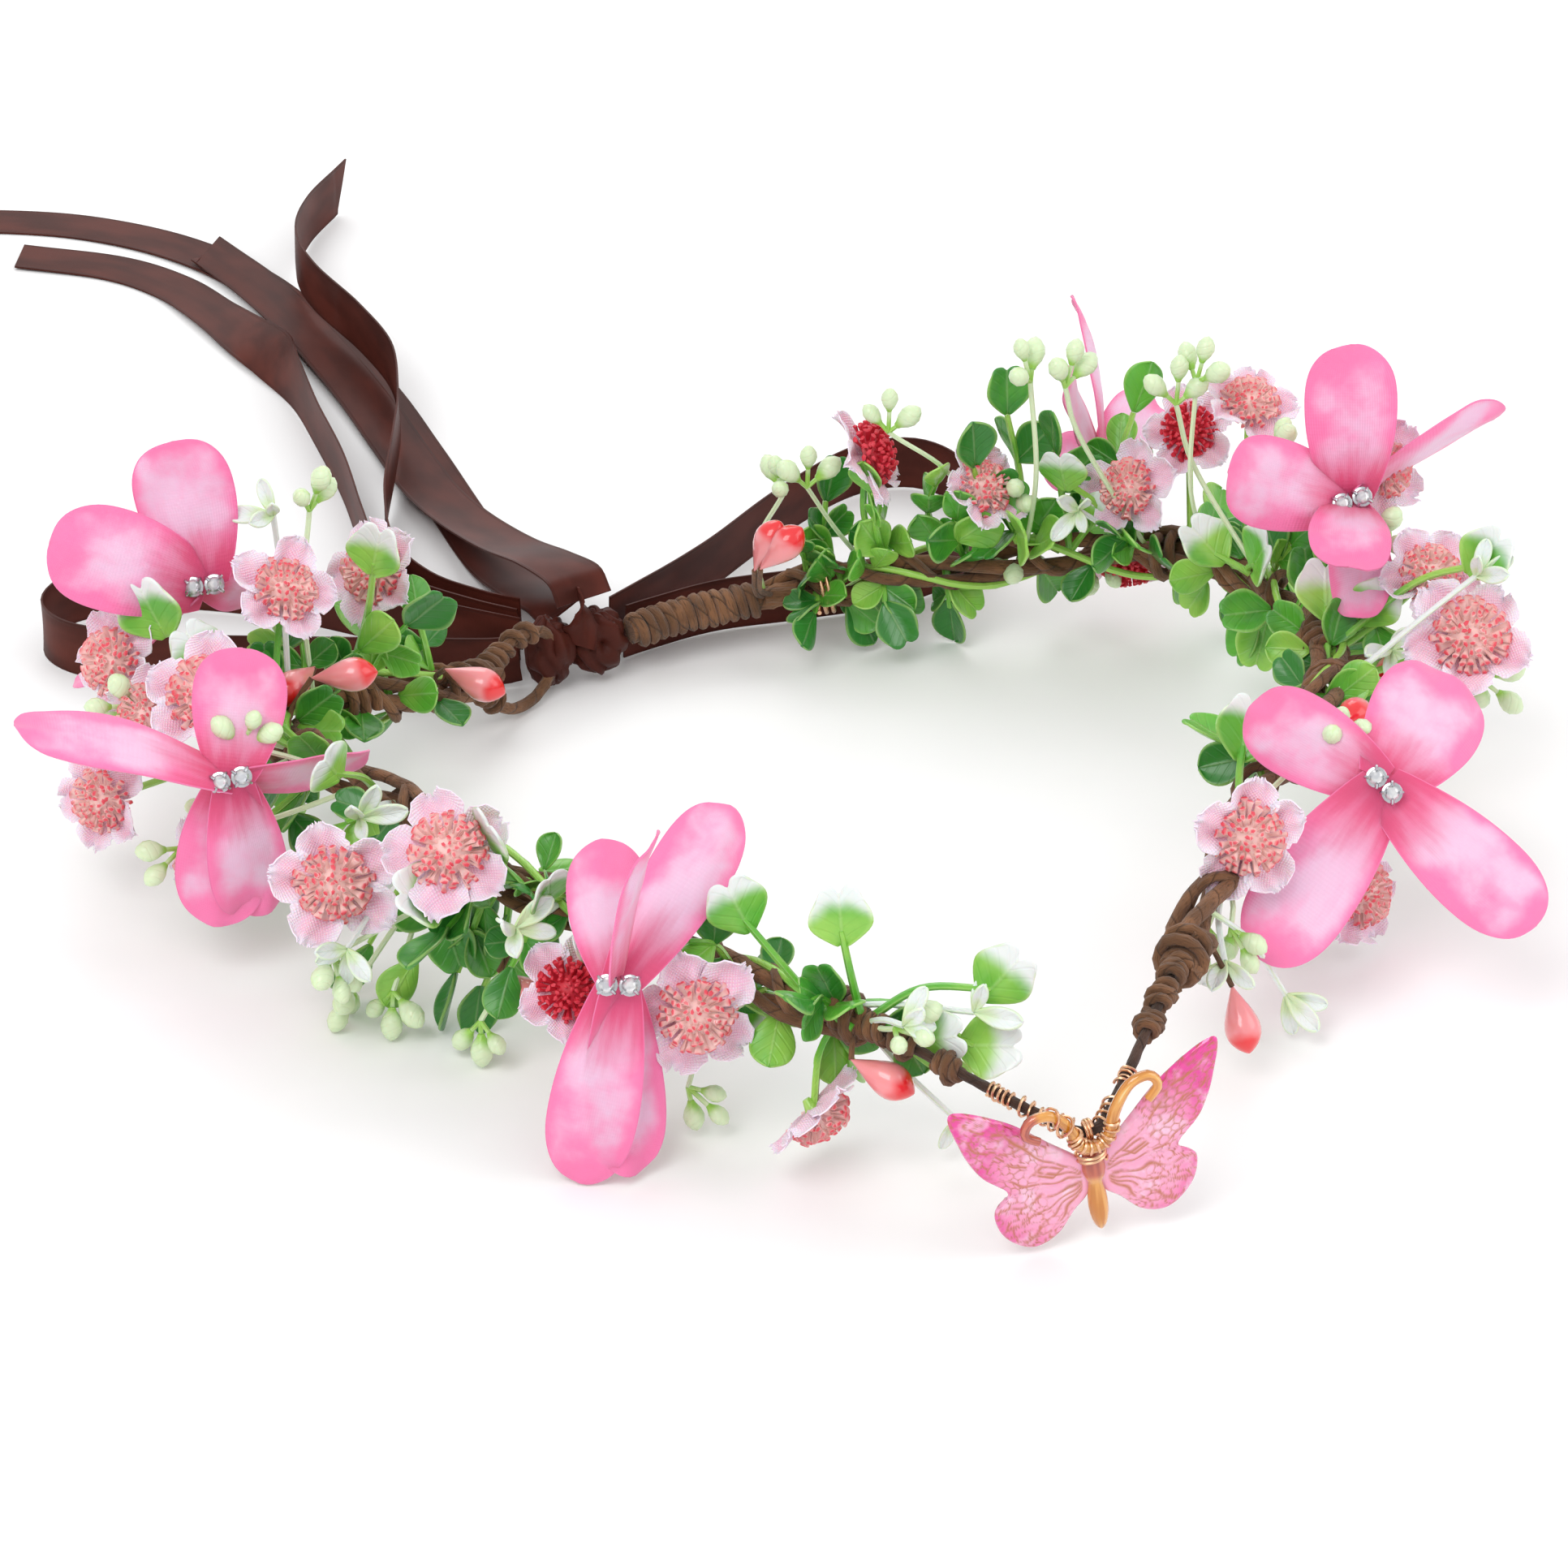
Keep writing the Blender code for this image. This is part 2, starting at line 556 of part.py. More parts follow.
# ---------------------------------------------------------------- the charm
def charm(group):
    """The hinged butterfly charm. Its ring hangs on the front wire's V, the joint's axis."""
    apex = bench(APEX)
    pivot = bpy.data.objects.new("charm_pivot", None)
    group.objects.link(pivot)
    pivot.location = apex
    pivot.rotation_euler = (math.radians(90.0), CHARM_ROLL, 0.0)
    head = -(CHARM_RING_RADIUS + CHARM_RING_WIRE + GAP)

    for side, sign in (("left", -1), ("right", 1)):
        curve = bpy.data.curves.new(f"charm_wing_{side}", "CURVE")
        curve.dimensions = "2D"
        curve.fill_mode = "BOTH"
        curve.extrude = CHARM_THICKNESS / 2
        spline = curve.splines.new("POLY")
        spline.points.add(len(CHARM_WING) - 1)
        for spot, (x, y) in zip(spline.points, CHARM_WING):
            spot.co = (sign * x * MM, y * MM + head, 0.0, 1.0)
        spline.use_cyclic_u = True
        wing = add(f"charm_wing_{side}", curve, "charm_resin", group)
        wing.parent = pivot

    half = CHARM_BODY_LENGTH / 2
    profile = [
        (0.0, half), (0.7 * CHARM_BODY_RADIUS, 0.88 * half), (CHARM_BODY_RADIUS, 0.5 * half),
        (0.72 * CHARM_BODY_RADIUS, 0.1 * half), (0.85 * CHARM_BODY_RADIUS, -0.3 * half),
        (0.6 * CHARM_BODY_RADIUS, -0.85 * half), (0.0, -half)]
    body = turned("charm_body", profile, "amber_resin", group)
    body.parent = pivot
    body.location = (0.0, head - half, 0.0)
    body.rotation_euler = (math.radians(-90.0), 0.0, 0.0)

    in_front = 3.0 * MM
    points = [Vector((x * MM, y * MM + head + 0.4 * MM, in_front)) for x, y in CHARM_ANTENNAE]
    antennae = wire("charm_antennae", smooth_path(points, 2.4 * MM), 0.9 * MM, "amber_resin", group)
    antennae.parent = pivot

    bpy.ops.mesh.primitive_torus_add(
        major_radius=CHARM_RING_RADIUS, minor_radius=CHARM_RING_WIRE, major_segments=16,
        minor_segments=6)
    ring = bpy.context.object
    ring.name = "charm_ring"
    ring.data.transform(Matrix.Rotation(math.radians(90.0), 4, "Y"))
    ring.data.materials.append(material("copper_wire"))
    bpy.context.collection.objects.unlink(ring)
    group.objects.link(ring)
    ring.parent = pivot


def main():
    clear_scene()
    group = collection("flower_crown")
    cutters = collection("cutters")
    left, right, loop = hoop(group)
    knot(loop, group, cutters)
    ribbons(group)
    paths = (left, right)
    butterflies(group)
    blossoms(paths, group)
    pips(paths, group)
    sprigs(paths, group)
    charm(group)


main()
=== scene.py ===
"""Looks of the flower crown: vines, ribbon, cloth butterflies, blossoms, sprigs and charm."""
import math
import random

import bpy
import numpy
from bpy.props import FloatProperty, FloatVectorProperty, PointerProperty
from mathutils import Euler, Matrix, Vector, noise


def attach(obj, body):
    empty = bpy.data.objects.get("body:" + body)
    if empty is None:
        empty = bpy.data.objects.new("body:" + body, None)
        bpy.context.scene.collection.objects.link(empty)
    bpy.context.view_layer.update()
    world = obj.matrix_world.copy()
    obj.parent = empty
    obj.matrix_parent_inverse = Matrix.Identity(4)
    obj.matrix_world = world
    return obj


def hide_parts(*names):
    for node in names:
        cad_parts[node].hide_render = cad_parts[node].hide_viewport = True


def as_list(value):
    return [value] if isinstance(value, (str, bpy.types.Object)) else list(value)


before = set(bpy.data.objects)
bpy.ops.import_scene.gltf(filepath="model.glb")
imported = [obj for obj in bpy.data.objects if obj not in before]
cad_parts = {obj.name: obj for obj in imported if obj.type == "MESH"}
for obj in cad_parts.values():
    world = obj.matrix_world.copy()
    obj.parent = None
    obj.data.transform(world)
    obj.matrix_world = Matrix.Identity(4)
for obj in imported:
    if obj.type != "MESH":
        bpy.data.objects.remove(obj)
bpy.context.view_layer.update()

bl_info = {
    "name": "Flower crown",
    "version": (1, 0, 0),
    "blender": (4, 5, 0),
    "location": "View3D > Sidebar > Crown",
    "description": "Makes the detailed pieces of the flower crown round its packed frame",
    "category": "Add Mesh",
}

MM = 0.001
ORIGIN = Vector((-1.6, -21.4, 0.2))    # bench point, in mm, at the part's origin
OUT = Vector((-0.27, -0.82, 0.50)).normalized()   # decorations face the front and up
UP = Vector((0.0, 0.0, 1.0))
UV_UNIT = 10 * MM                      # one unit of V along a cord or a wire
TABLE_GAP = 0.4 * MM                   # the least height of a leaf above the table
ROUTE_STEP = 2 * MM                    # spacing of points along a vine or a ribbon
FINE_STEP = 1.0 * MM                   # spacing of points along the handle, the loop and the wire
MERGE_GAP = 0.002 * MM                 # points of a piece nearer than this become one
TWIST_LENGTH = 66 * MM                 # length of vine in which its strands make one turn
GOLDEN_ANGLE = 2.39996                 # turn from one stamen to the next, in radians

# ---------------------------------------------------------------- routes, in bench mm
APEX = (4.2, -127.0, 20.5)
LEG_LEFT = (-19.4, -98.0, 26.0)
LEG_RIGHT = (28.2, -98.6, 27.0)
LEFT_VINE = [
    (-21, -95.5, 26), (-33, -80, 26), (-40, -66, 26), (-53, -46, 26), (-62, -30, 26),
    (-72, -6, 26), (-80, 14, 25), (-81, 27, 23), (-74, 38, 20), (-58, 45, 16),
    (-45, 51, 13), (-37, 55, 11),
]
RIGHT_VINE = [
    (30, -96, 27), (47, -73, 27), (57, -54, 27), (74, -37, 27), (88, -14, 26),
    (92, 10, 24), (90, 33, 22), (80, 47, 20), (65, 56, 18), (45, 62, 15),
    (28, 67, 12), (16, 69, 10.5),
]
HANDLE = [(14.6, 69.2, 10.3), (8, 69.8, 9.6), (0, 69.6, 9.0), (-9, 67.8, 8.4)]
END_LOOP = [
    (-36.5, 57.5, 12.5), (-33, 60, 14), (-29, 62.6, 14.2), (-25.2, 64.6, 12.6),
    (-23.6, 65.4, 9), (-24.2, 64.6, 5), (-27.5, 62, 2.2), (-32, 58.8, 2), (-36, 56, 4.6),
]

HANDLE_ROOT = (24.0, 68.0, 11.4)       # where the handle's core starts, inside the right vine
LOOP_ROOTS = [(-41.0, 52.8, 12.0), (-38.5, 54.4, 8.2), (-42.0, 52.4, 10.6)]   # inside the left vine

# Ribbons: x, y, z and the lean of the width (0 stands on edge, 90 lies flat).
RIBBONS = {
    "bow_left": (0.186, "object", [
        (-27.5, 72.5, 6.5, 8), (-34, 79.5, 6, 4), (-46, 91, 5.6, 2), (-64, 107, 5.6, 0),
        (-82, 116, 5.6, 0), (-97, 115, 5.6, 0), (-104, 107, 5.6, 0), (-101, 97, 5.6, 0),
        (-88, 88.5, 5.6, 0), (-68, 81, 5.6, 0), (-48, 74.5, 5.6, 4), (-33.5, 69.2, 6, 8),
        (-29.0, 68.3, 6.5, 8)]),
    "bow_right": (0.194, "object", [
        (-10.5, 75.5, 6.5, 0), (-4, 80.5, 6, 0), (12, 92, 5.6, 0), (30, 107, 5.6, 0),
        (48, 119, 5.6, 0), (60, 119.5, 5.6, 0), (66, 110, 5.6, 0), (65, 95, 5.6, 0),
        (57, 83, 5.6, 0), (44, 77.5, 5.6, 0), (26, 77, 5.6, 0), (10, 77.5, 5.6, 0),
        (-3, 74.8, 5.6, 0), (-8.5, 72.6, 6, 0)]),
    "tail_wide": (0.193, "bare", [
        (-17.4, 67.0, 16.6, 76), (-18.2, 71, 19.6, 84), (-20, 83, 17.2, 90),
        (-21.8, 101, 11.4, 90), (-23.5, 122, 6, 90), (-24.5, 142, 2.6, 90),
        (-25, 164, 1.7, 90), (-26, 186, 1.7, 90), (-28.5, 212, 1.7, 90),
        (-32.5, 236, 1.7, 90), (-38, 255, 1.7, 90)]),
    "tail_under": (0.243, "bare", [
        (-18.0, 77.0, 9.5, 60), (-18.5, 84, 8, 80), (-20, 96, 4.6, 90), (-21, 112, 1.4, 90),
        (-21.5, 135, 0.7, 90), (-22, 160, 0.7, 90), (-23, 186, 0.7, 90), (-26, 212, 0.7, 90),
        (-32.5, 240, 0.7, 90), (-43, 260, 0.7, 90), (-57, 274, 0.7, 90),
        (-73, 282.5, 0.7, 90), (-90, 287, 0.7, 90)]),
    "tail_left": (0.208, "bare", [
        (-26.5, 76.8, 6.2, 0), (-33, 84, 5.8, 0), (-40.5, 94, 5.6, 0), (-43.5, 106, 5.6, 0),
        (-42, 124, 5.6, 0), (-39.5, 146, 5.6, 0), (-38.8, 168, 5.6, 0),
        (-38.4, 186, 5.7, 10), (-39.0, 200, 4.9, 40), (-40.8, 214, 2.8, 70),
        (-43.5, 228, 1.6, 88), (-48, 243, 0.8, 90), (-57, 255, 0.8, 90),
        (-73, 265.5, 0.8, 90)]),
    "tail_curled": (0.199, "bare", [
        (-25.0, 80.4, 6.2, 0), (-30.8, 86.8, 5.8, 0), (-37, 96, 5.6, 0),
        (-39.8, 110, 5.6, 0), (-36.6, 128, 6.4, 0), (-30, 146, 8.6, 0),
        (-24.6, 163, 8.8, 0), (-21.2, 181, 8.8, 0), (-22.4, 199, 8.8, 0),
        (-25.8, 219, 8.6, 0), (-24.8, 237, 7.4, 0), (-18, 254, 5.8, 0),
        (-8, 267, 5.6, 0)]),
}
TAIL_CUTS = {"tail_wide": 4.0, "tail_left": 0.8, "tail_curled": 2.5}    # slant of the cut end, mm
TAIL_FOLD = [(-18.6, 66.6, 19.4, 20), (-18.4, 65.2, 16.5, 10), (-18.8, 64.6, 13.0, 0), (-19.2, 64.8, 9.0, 0)]

# Butterflies: hub, body direction, and lobes as (tip offset, width, roll, lift in layers).
BUTTERFLIES = {
    "a": ((-91, 35.5, 47), (10, -4, 2), [
        ((-4, 2, 26), 16.5, 0, 0), ((-26, -1, 13), 17, 0, 1), ((-19, 18, -23), 13, 75, 0),
        ((12, 12, -8), 9, 40, 0)]),
    "b": ((-99, -13, 38), (11, -3, 3), [
        ((-34, 4, 13), 12, 48, 0), ((4, 6, 20), 15, 0, 1), ((24, 8, -4), 11, 66, 0),
        ((-4, 1, -27), 15, 0, 0), ((3, 2, -26), 13, -14, 1)]),
    "c": ((-57, -86, 34), (11, -4, 0), [
        ((4, 22, 13), 13, 0, 0), ((24, 20, 16), 12.5, 0, 0), ((4, -9, 30), 11, 80, 0),
        ((-7, -1, -33.3), 14, 0, 0), ((1, -4, -32), 13, -22, 1)]),
    "d": ((74, -71, 38), (8, -6, -9), [
        ((-15, 20, 6), 14, 0, 0), ((-24, -10, -22), 16, 0, 1), ((19, 19, 6), 19, 0, 1),
        ((16, -26, -14), 15, 0, 0)]),
    "e": ((99, 6, 47), (11, -3, 4), [
        ((-24, -4, 11), 15.5, 0, 1), ((-1, 1, 29), 15.5, 0, 0), ((31, 8, 8), 12, 72, 0),
        ((-9, -21, -1), 14, 0, 0), ((-4, -17, -13), 11, 20, 1)]),
    "f": ((77, 65, 29), (11, -4, 0), [
        ((1, 22, 22), 11, 84, 0), ((-9, -6, 22), 9, 62, 0), ((14, 14, 4), 11, 0, 0),
        ((-6, 16, -6), 11, 0, 0)]),
}

# Blossoms: place, the way the head faces, size, and whether its stamens are deep red.
BLOSSOMS_LEFT = [
    ((-80, 25, 50), (0.35, -0.7, 0.5), 1.0, 0), ((-108, 33, 37), (-0.75, -0.5, 0.4), 1.05, 0),
    ((-60, 46, 40), (-0.55, -0.55, 0.6), 1.05, 0), ((-98, 9, 42), (-0.2, -0.75, 0.6), 1.15, 0),
    ((-106, 16, 36), (-0.6, -0.7, 0.4), 0.95, 0), ((-114, 18, 20), (-0.8, -0.55, 0.15), 1.0, 0),
    ((-88, -33, 28), (-0.25, -0.8, 0.5), 1.15, 0), ((-73, -47, 39), (-0.2, -0.8, 0.6), 1.15, 0),
    ((-102, -1, 16), (-0.75, -0.6, 0.1), 0.95, 0), ((-60, -69, 24), (-0.45, -0.8, 0.35), 0.95, 1),
    ((-45, -87, 27), (-0.1, -0.85, 0.4), 1.1, 0), ((-29, -98, 12), (0.25, -0.35, -0.8), 1.0, 0),
]
BLOSSOMS_RIGHT = [
    ((49, -77, 36), (-0.25, -0.85, 0.45), 1.1, 0), ((76, -61, 12), (0.25, -0.8, 0.2), 1.0, 0),
    ((108, -26, 36), (0.05, -0.8, 0.5), 1.2, 0), ((107, -10, 40), (-0.1, -0.7, 0.65), 0.95, 0),
    ((108, 14, 48), (0.3, -0.5, 0.75), 0.95, 0), ((91, 33, 54), (-0.15, -0.2, 0.97), 0.95, 0),
    ((86, 48, 42), (-0.1, -0.7, 0.6), 0.9, 1), ((78, 55, 14), (-0.15, -0.8, -0.3), 0.95, 1),
    ((33, 61, 40), (0.6, -0.45, 0.5), 1.0, 1), ((51, 54, 34), (0.55, -0.6, 0.45), 0.95, 0),
    ((74, 46, 34), (-0.5, -0.6, 0.5), 0.95, 0),
]
# Pips: place of the middle, and the way the tip points.
PIPS = [
    ((-78, 29, 30), (-0.6, -0.5, -0.1)), ((-71, 24, 33), (0.9, -0.3, 0.1)),
    ((-44, 42, 18), (0.8, -0.5, -0.3)), ((12.5, 57, 27), (0.35, -0.2, 0.9)),
    ((14.2, 54.5, 27.5), (0.6, -0.25, 0.75)), ((-20, -102, 20), (0.75, -0.5, -0.4)),
    ((-62, -50, 13), (0.5, -0.7, -0.3)), ((43, -91, 12), (0.1, -0.5, -0.85)),
    ((100, -12, 24), (-0.3, -0.8, 0.1)), ((84, -36, 31), (-0.5, -0.7, 0.3)),
]
GREEN_LEFT = [
    (-78, 46, 34), (-74, 40, 32), (-65, 37, 30), (-57, 36, 34), (-84, 42, 26), (-69, 40, 14),
    (-84, 30, 26), (-82, 22, 16), (-75, -33, 12), (-69, -36, 10), (-72, -42, 22), (-62, -46, 30),
    (-80, -23, 10), (-66, -38, 6), (-50, -62, 30), (-44, -80, 36), (-36, -72, 22),
    (-30, -98, 33), (-23, -90, 20), (-82, -18, 30), (-60, 52, 24), (-50, 55, 24), (-88, 8, 14),
    (-64, -50, 18), (-12, -98, 22), (-92, 20, 30),
]
GREEN_RIGHT = [
    (22, 66, 20), (22, 60, 11), (35, 60, 11), (47, 60, 8), (32, 58, 34), (43, 57, 34),
    (46, 54, 28), (49, 54, 38), (64, 54, 38), (85, 50, 14), (90, 45, 24), (97, 44, 8),
    (82, -10, 21), (88, -5, 26), (100, 10, 34), (104, -7, 27), (88, -24, 26), (77, 58, 34),
    (57, 60, 44), (78, 54, 44), (56, 50, 26), (36, 64, 24), (72, 44, 26), (96, 24, 30),
    (84, -30, 18), (60, -42, 32), (28, 72, 26), (98, 0, 20), (100, 30, 16),
]
TIPPED_LEFT = [
    (-63, 33, 48), (-83, -16, 38), (-66, -45, 38), (-76, -48, 31), (-36, -83, 40),
    (-24, -94, 42), (-3, -103, 33), (-60, -58, 35), (-14, -102, 25), (-34, -75, 20),
    (-100, 30, 44), (-56, -64, 30), (-6, -104, 24), (-94, 22, 40),
]
TIPPED_RIGHT = [
    (84, 29, 28), (97, -8, 33), (64, 50, 35), (60, -46, 34), (77, 57, 18), (111, -20, 46),
    (88, 20, 30), (70, 50, 26), (92, -2, 32),
]
# Sprays of three buds: place and the way they hang or stand.
BUDS_LEFT = [
    ((-96, -11, 45), (0.1, -0.3, 0.9)), ((-110, 20, 36), (-0.9, 0, 0.2)),
    ((-108, -5, 20), (-0.6, -0.4, -0.4)), ((-86, -31, 5), (-0.6, -0.3, -0.8)),
    ((-80, -36, 5), (-0.2, -0.4, -0.9)), ((-69, -49, 5), (-0.1, -0.3, -0.95)),
    ((-42, -80, 7), (0.6, -0.4, -0.6)), ((-72, 37, 60), (0.2, -0.1, 1)),
    ((-94, 24, 38), (-0.5, -0.6, 0.3)), ((-101, -3, 26), (-0.6, -0.6, -0.3)),
    ((-17, -106, 30), (0.4, -0.6, 0.2)), ((-90, -40, 16), (-0.1, -0.7, -0.7)),
]
BUDS_RIGHT = [
    ((17, 65, 35), (-0.3, 0, 0.9)), ((22, 63, 37), (0.1, 0, 1)), ((35, 58, 48), (0.1, 0, 1)),
    ((54, 42, 62), (-0.2, 0, 1)), ((61, 40, 61), (0.3, 0, 1)), ((78, 34, 58), (0, 0, 1)),
    ((82, 33, 62), (0.3, 0, 1)), ((92, 22, 51), (0.2, -0.6, 0.6)), ((70, -60, 42), (-0.2, -0.7, 0.5)),
    ((75, -60, 40), (0.2, -0.8, -0.1)), ((42, -78, 18), (-0.2, -0.4, -0.8)),
    ((46, -82, 20), (0.3, -0.4, -0.8)), ((56, 54, 32), (-0.2, -0.6, 0.4)),
    ((117, -16, 20), (0.7, -0.2, -0.5)), ((72, 55, 14), (-0.4, -0.8, -0.2)),
    ((59, 59, 16), (-0.5, -0.7, -0.3)), ((104, 2, 40), (0.3, -0.7, 0.3)),
]
# Slender white florets: place and the way they point.
FLORETS_LEFT = [
    ((-66, -60, 31), (0.3, -0.6, 0.2)), ((-7, -99, 8), (0.2, -0.3, -0.9)),
    ((-18, -106, 31), (0.8, -0.4, 0.4)), ((-6, -104, 30), (0.8, -0.3, 0.5)),
    ((-79, 36, 58), (-0.8, 0, 0.6)), ((-80, -19, 31), (0.2, -0.7, 0.4)),
    ((-57, -66, 27), (0.6, -0.6, -0.2)), ((-88, -40, 20), (-0.5, -0.6, -0.5)),
    ((-96, 26, 36), (-0.3, -0.8, 0.2)),
]
FLORETS_RIGHT = [
    ((42, -86, 20), (-0.1, -0.4, -0.9)), ((55, -80, 8), (0.6, -0.3, -0.7)),
    ((110, -22, 45), (0.5, -0.3, 0.8)), ((98, -16, 30), (-0.2, -0.8, 0.3)),
    ((66, 48, 30), (-0.5, -0.7, 0.1)),
]

# The charm, in mm from the top of its head (x out, y up).
CHARM_WING = [
    (1.0, -2.6), (6.0, 2.0), (13.0, 8.6), (21.2, 13.2), (20.4, 6.5), (17.8, 0.3),
    (13.8, -4.4), (16.4, -7.2), (15.2, -12.0), (11.2, -15.4), (7.0, -14.6), (3.8, -11.2),
    (1.0, -8.2),
]
CHARM_CENTRE = (8.5, -3.0)
CHARM_VEINS = [
    [(2.8, -4.2), (8.0, 1.0), (13.5, 6.2), (19.6, 11.2)],
    [(2.8, -4.8), (9.0, -1.4), (14.5, 2.6), (19.6, 7.4)],
    [(2.8, -5.4), (9.0, -3.6), (13.5, -1.8), (17.6, 1.0)],
    [(5.2, -2.4), (8.0, -0.8), (9.6, -1.6), (7.0, -3.0), (5.2, -2.4)],
    [(2.8, -6.4), (8.0, -6.4), (15.4, -7.0)], [(2.8, -6.8), (8.0, -8.4), (14.6, -10.6)],
    [(2.8, -7.2), (7.0, -10.0), (12.2, -14.0)], [(2.8, -7.6), (5.4, -10.6), (8.2, -14.2)],
    [(10.5, 4.2), (13.2, 3.4), (15.8, 4.4)],
]
CHARM_GROOVE = [(2.6, -5.9), (8.0, -5.3), (14.8, -4.5)]
CHARM_ANTENNAE = [
    (-8.6, 4.6), (-10.6, 6.4), (-9.4, 8.6), (-6.2, 8.4), (-3.6, 5.4), (-2.6, 2.2), (-1.0, 0.9),
    (1.0, 0.9), (2.6, 2.4), (3.8, 6.2), (6.6, 10.0), (9.8, 10.6), (11.0, 8.4), (9.2, 6.4),
]
CHARM_HEAD = -2.3 * MM                 # from the hinge line down to the top of the head
FOIL_DRIFT = (Vector((7.3, 2.9, 4.4)), Vector((-5.2, 11.6, 8.7)))   # parts of the noise that bend the foil
CHARM_HUB = (3.0, -4.5)                # where the foil's net begins to show, mm
CHARM_ROOT = (2.6, -4.5)               # where the dye is palest, mm
CHARM_RIM_STEP = 0.42                  # spacing of points round a wing's outline, mm
CHARM_RINGS = 44                       # rings of faces from a wing's centre to its rim
CHARM_TURN = Euler((math.radians(90.0), math.radians(-8.0), 0.0))


# ---------------------------------------------------------------- settings a user may change
def shade(code):
    """A colour written as six hexadecimal digits, as linear red, green and blue."""
    channels = [int(code[at:at + 2], 16) / 255 for at in (0, 2, 4)]
    return tuple(c / 12.92 if c <= 0.04045 else ((c + 0.055) / 1.055) ** 2.4 for c in channels)


def length_of(label, text, value):
    return FloatProperty(name=label, description=text, default=value, unit="LENGTH", min=0.0)


def colour_of(label, text, code):
    return FloatVectorProperty(name=label, description=text, default=shade(code), subtype="COLOR",
                               min=0.0, max=1.0)


class CrownSizes(bpy.types.PropertyGroup):
    vine: length_of("Vine radius", "Radius of one paper-covered vine", 0.00135)
    winding: length_of("Winding radius", "Radius of the paper cord wound round the vines", 0.0009)
    ribbon_width: length_of("Ribbon width", "Width of the satin ribbon", 0.010)
    ribbon_thickness: length_of("Ribbon thickness", "Thickness of the satin ribbon", 0.00035)
    wing_thickness: length_of("Wing cloth", "Thickness of the butterflies' cloth", 0.0003)
    petal: length_of("Petal length", "Length of one blossom petal", 0.0088)
    stamen: length_of("Stamen length", "Length of a blossom's longest stamens", 0.0054)
    leaf: length_of("Leaf length", "Length of a green leaf", 0.0098)
    bud: length_of("Bud length", "Length of one bud", 0.0052)
    pip: length_of("Pip length", "Length of one glossy pip", 0.0112)
    copper: length_of("Copper radius", "Radius of the wound copper wire", 0.00024)
    resin: length_of("Resin thickness", "Thickness of the charm's wings", 0.0017)


class CrownColours(bpy.types.PropertyGroup):
    vine: colour_of("Vine paper", "Paper on the vines", "7F583B")
    wire: colour_of("Front wire", "Dark wire at the front", "4A3327")
    ribbon: colour_of("Ribbon", "Satin ribbon", "50241C")
    wing_rim: colour_of("Wing rim", "Rim of the cloth wings", "FF7FB2")
    wing_middle: colour_of("Wing middle", "Middle of the cloth wings", "F3C3E0")
    wing_base: colour_of("Wing base", "Base of the cloth wings", "E2517F")
    petal: colour_of("Petal", "Blossom petals", "F6C4DA")
    petal_edge: colour_of("Petal edge", "Frayed edge of the petals", "F5E4F3")
    stamen: colour_of("Stamen", "Stalk of a stamen", "F9D3CE")
    stamen_tip: colour_of("Stamen tip", "Tip of a stamen", "DC4656")
    stamen_red: colour_of("Red stamen", "Deep red stamens", "D22F42")
    pip: colour_of("Pip", "Body of a pip", "F08F93")
    pip_tip: colour_of("Pip tip", "Tip of a pip", "E5151F")
    leaf: colour_of("Leaf", "Green leaves", "5DAE36")
    leaf_dark: colour_of("Dark leaf", "Older green leaves", "2F7D2C")
    leaf_light: colour_of("Light leaf", "New growth and stems", "9CCF58")
    leaf_tip: colour_of("Leaf tip", "White tips and florets", "E3EAE8")
    bud: colour_of("Bud", "Buds", "D6E8C0")
    resin_edge: colour_of("Resin edge", "Outer edge of the charm's wings", "DB2A92")
    resin: colour_of("Resin", "Inner part of the charm's wings", "F2A6C6")
    amber: colour_of("Amber", "The charm's body", "F5B052")
    copper: colour_of("Copper", "Copper wire and gold-coloured rings", "F0C09A")
    foil: colour_of("Foil", "Gold foil in the charm's raised lines", "B56A30")
    silver: colour_of("Silver", "Stone cups", "C9CBD0")


# ---------------------------------------------------------------- finishes
def darker(colour, share):
    return tuple(channel * share for channel in colour)


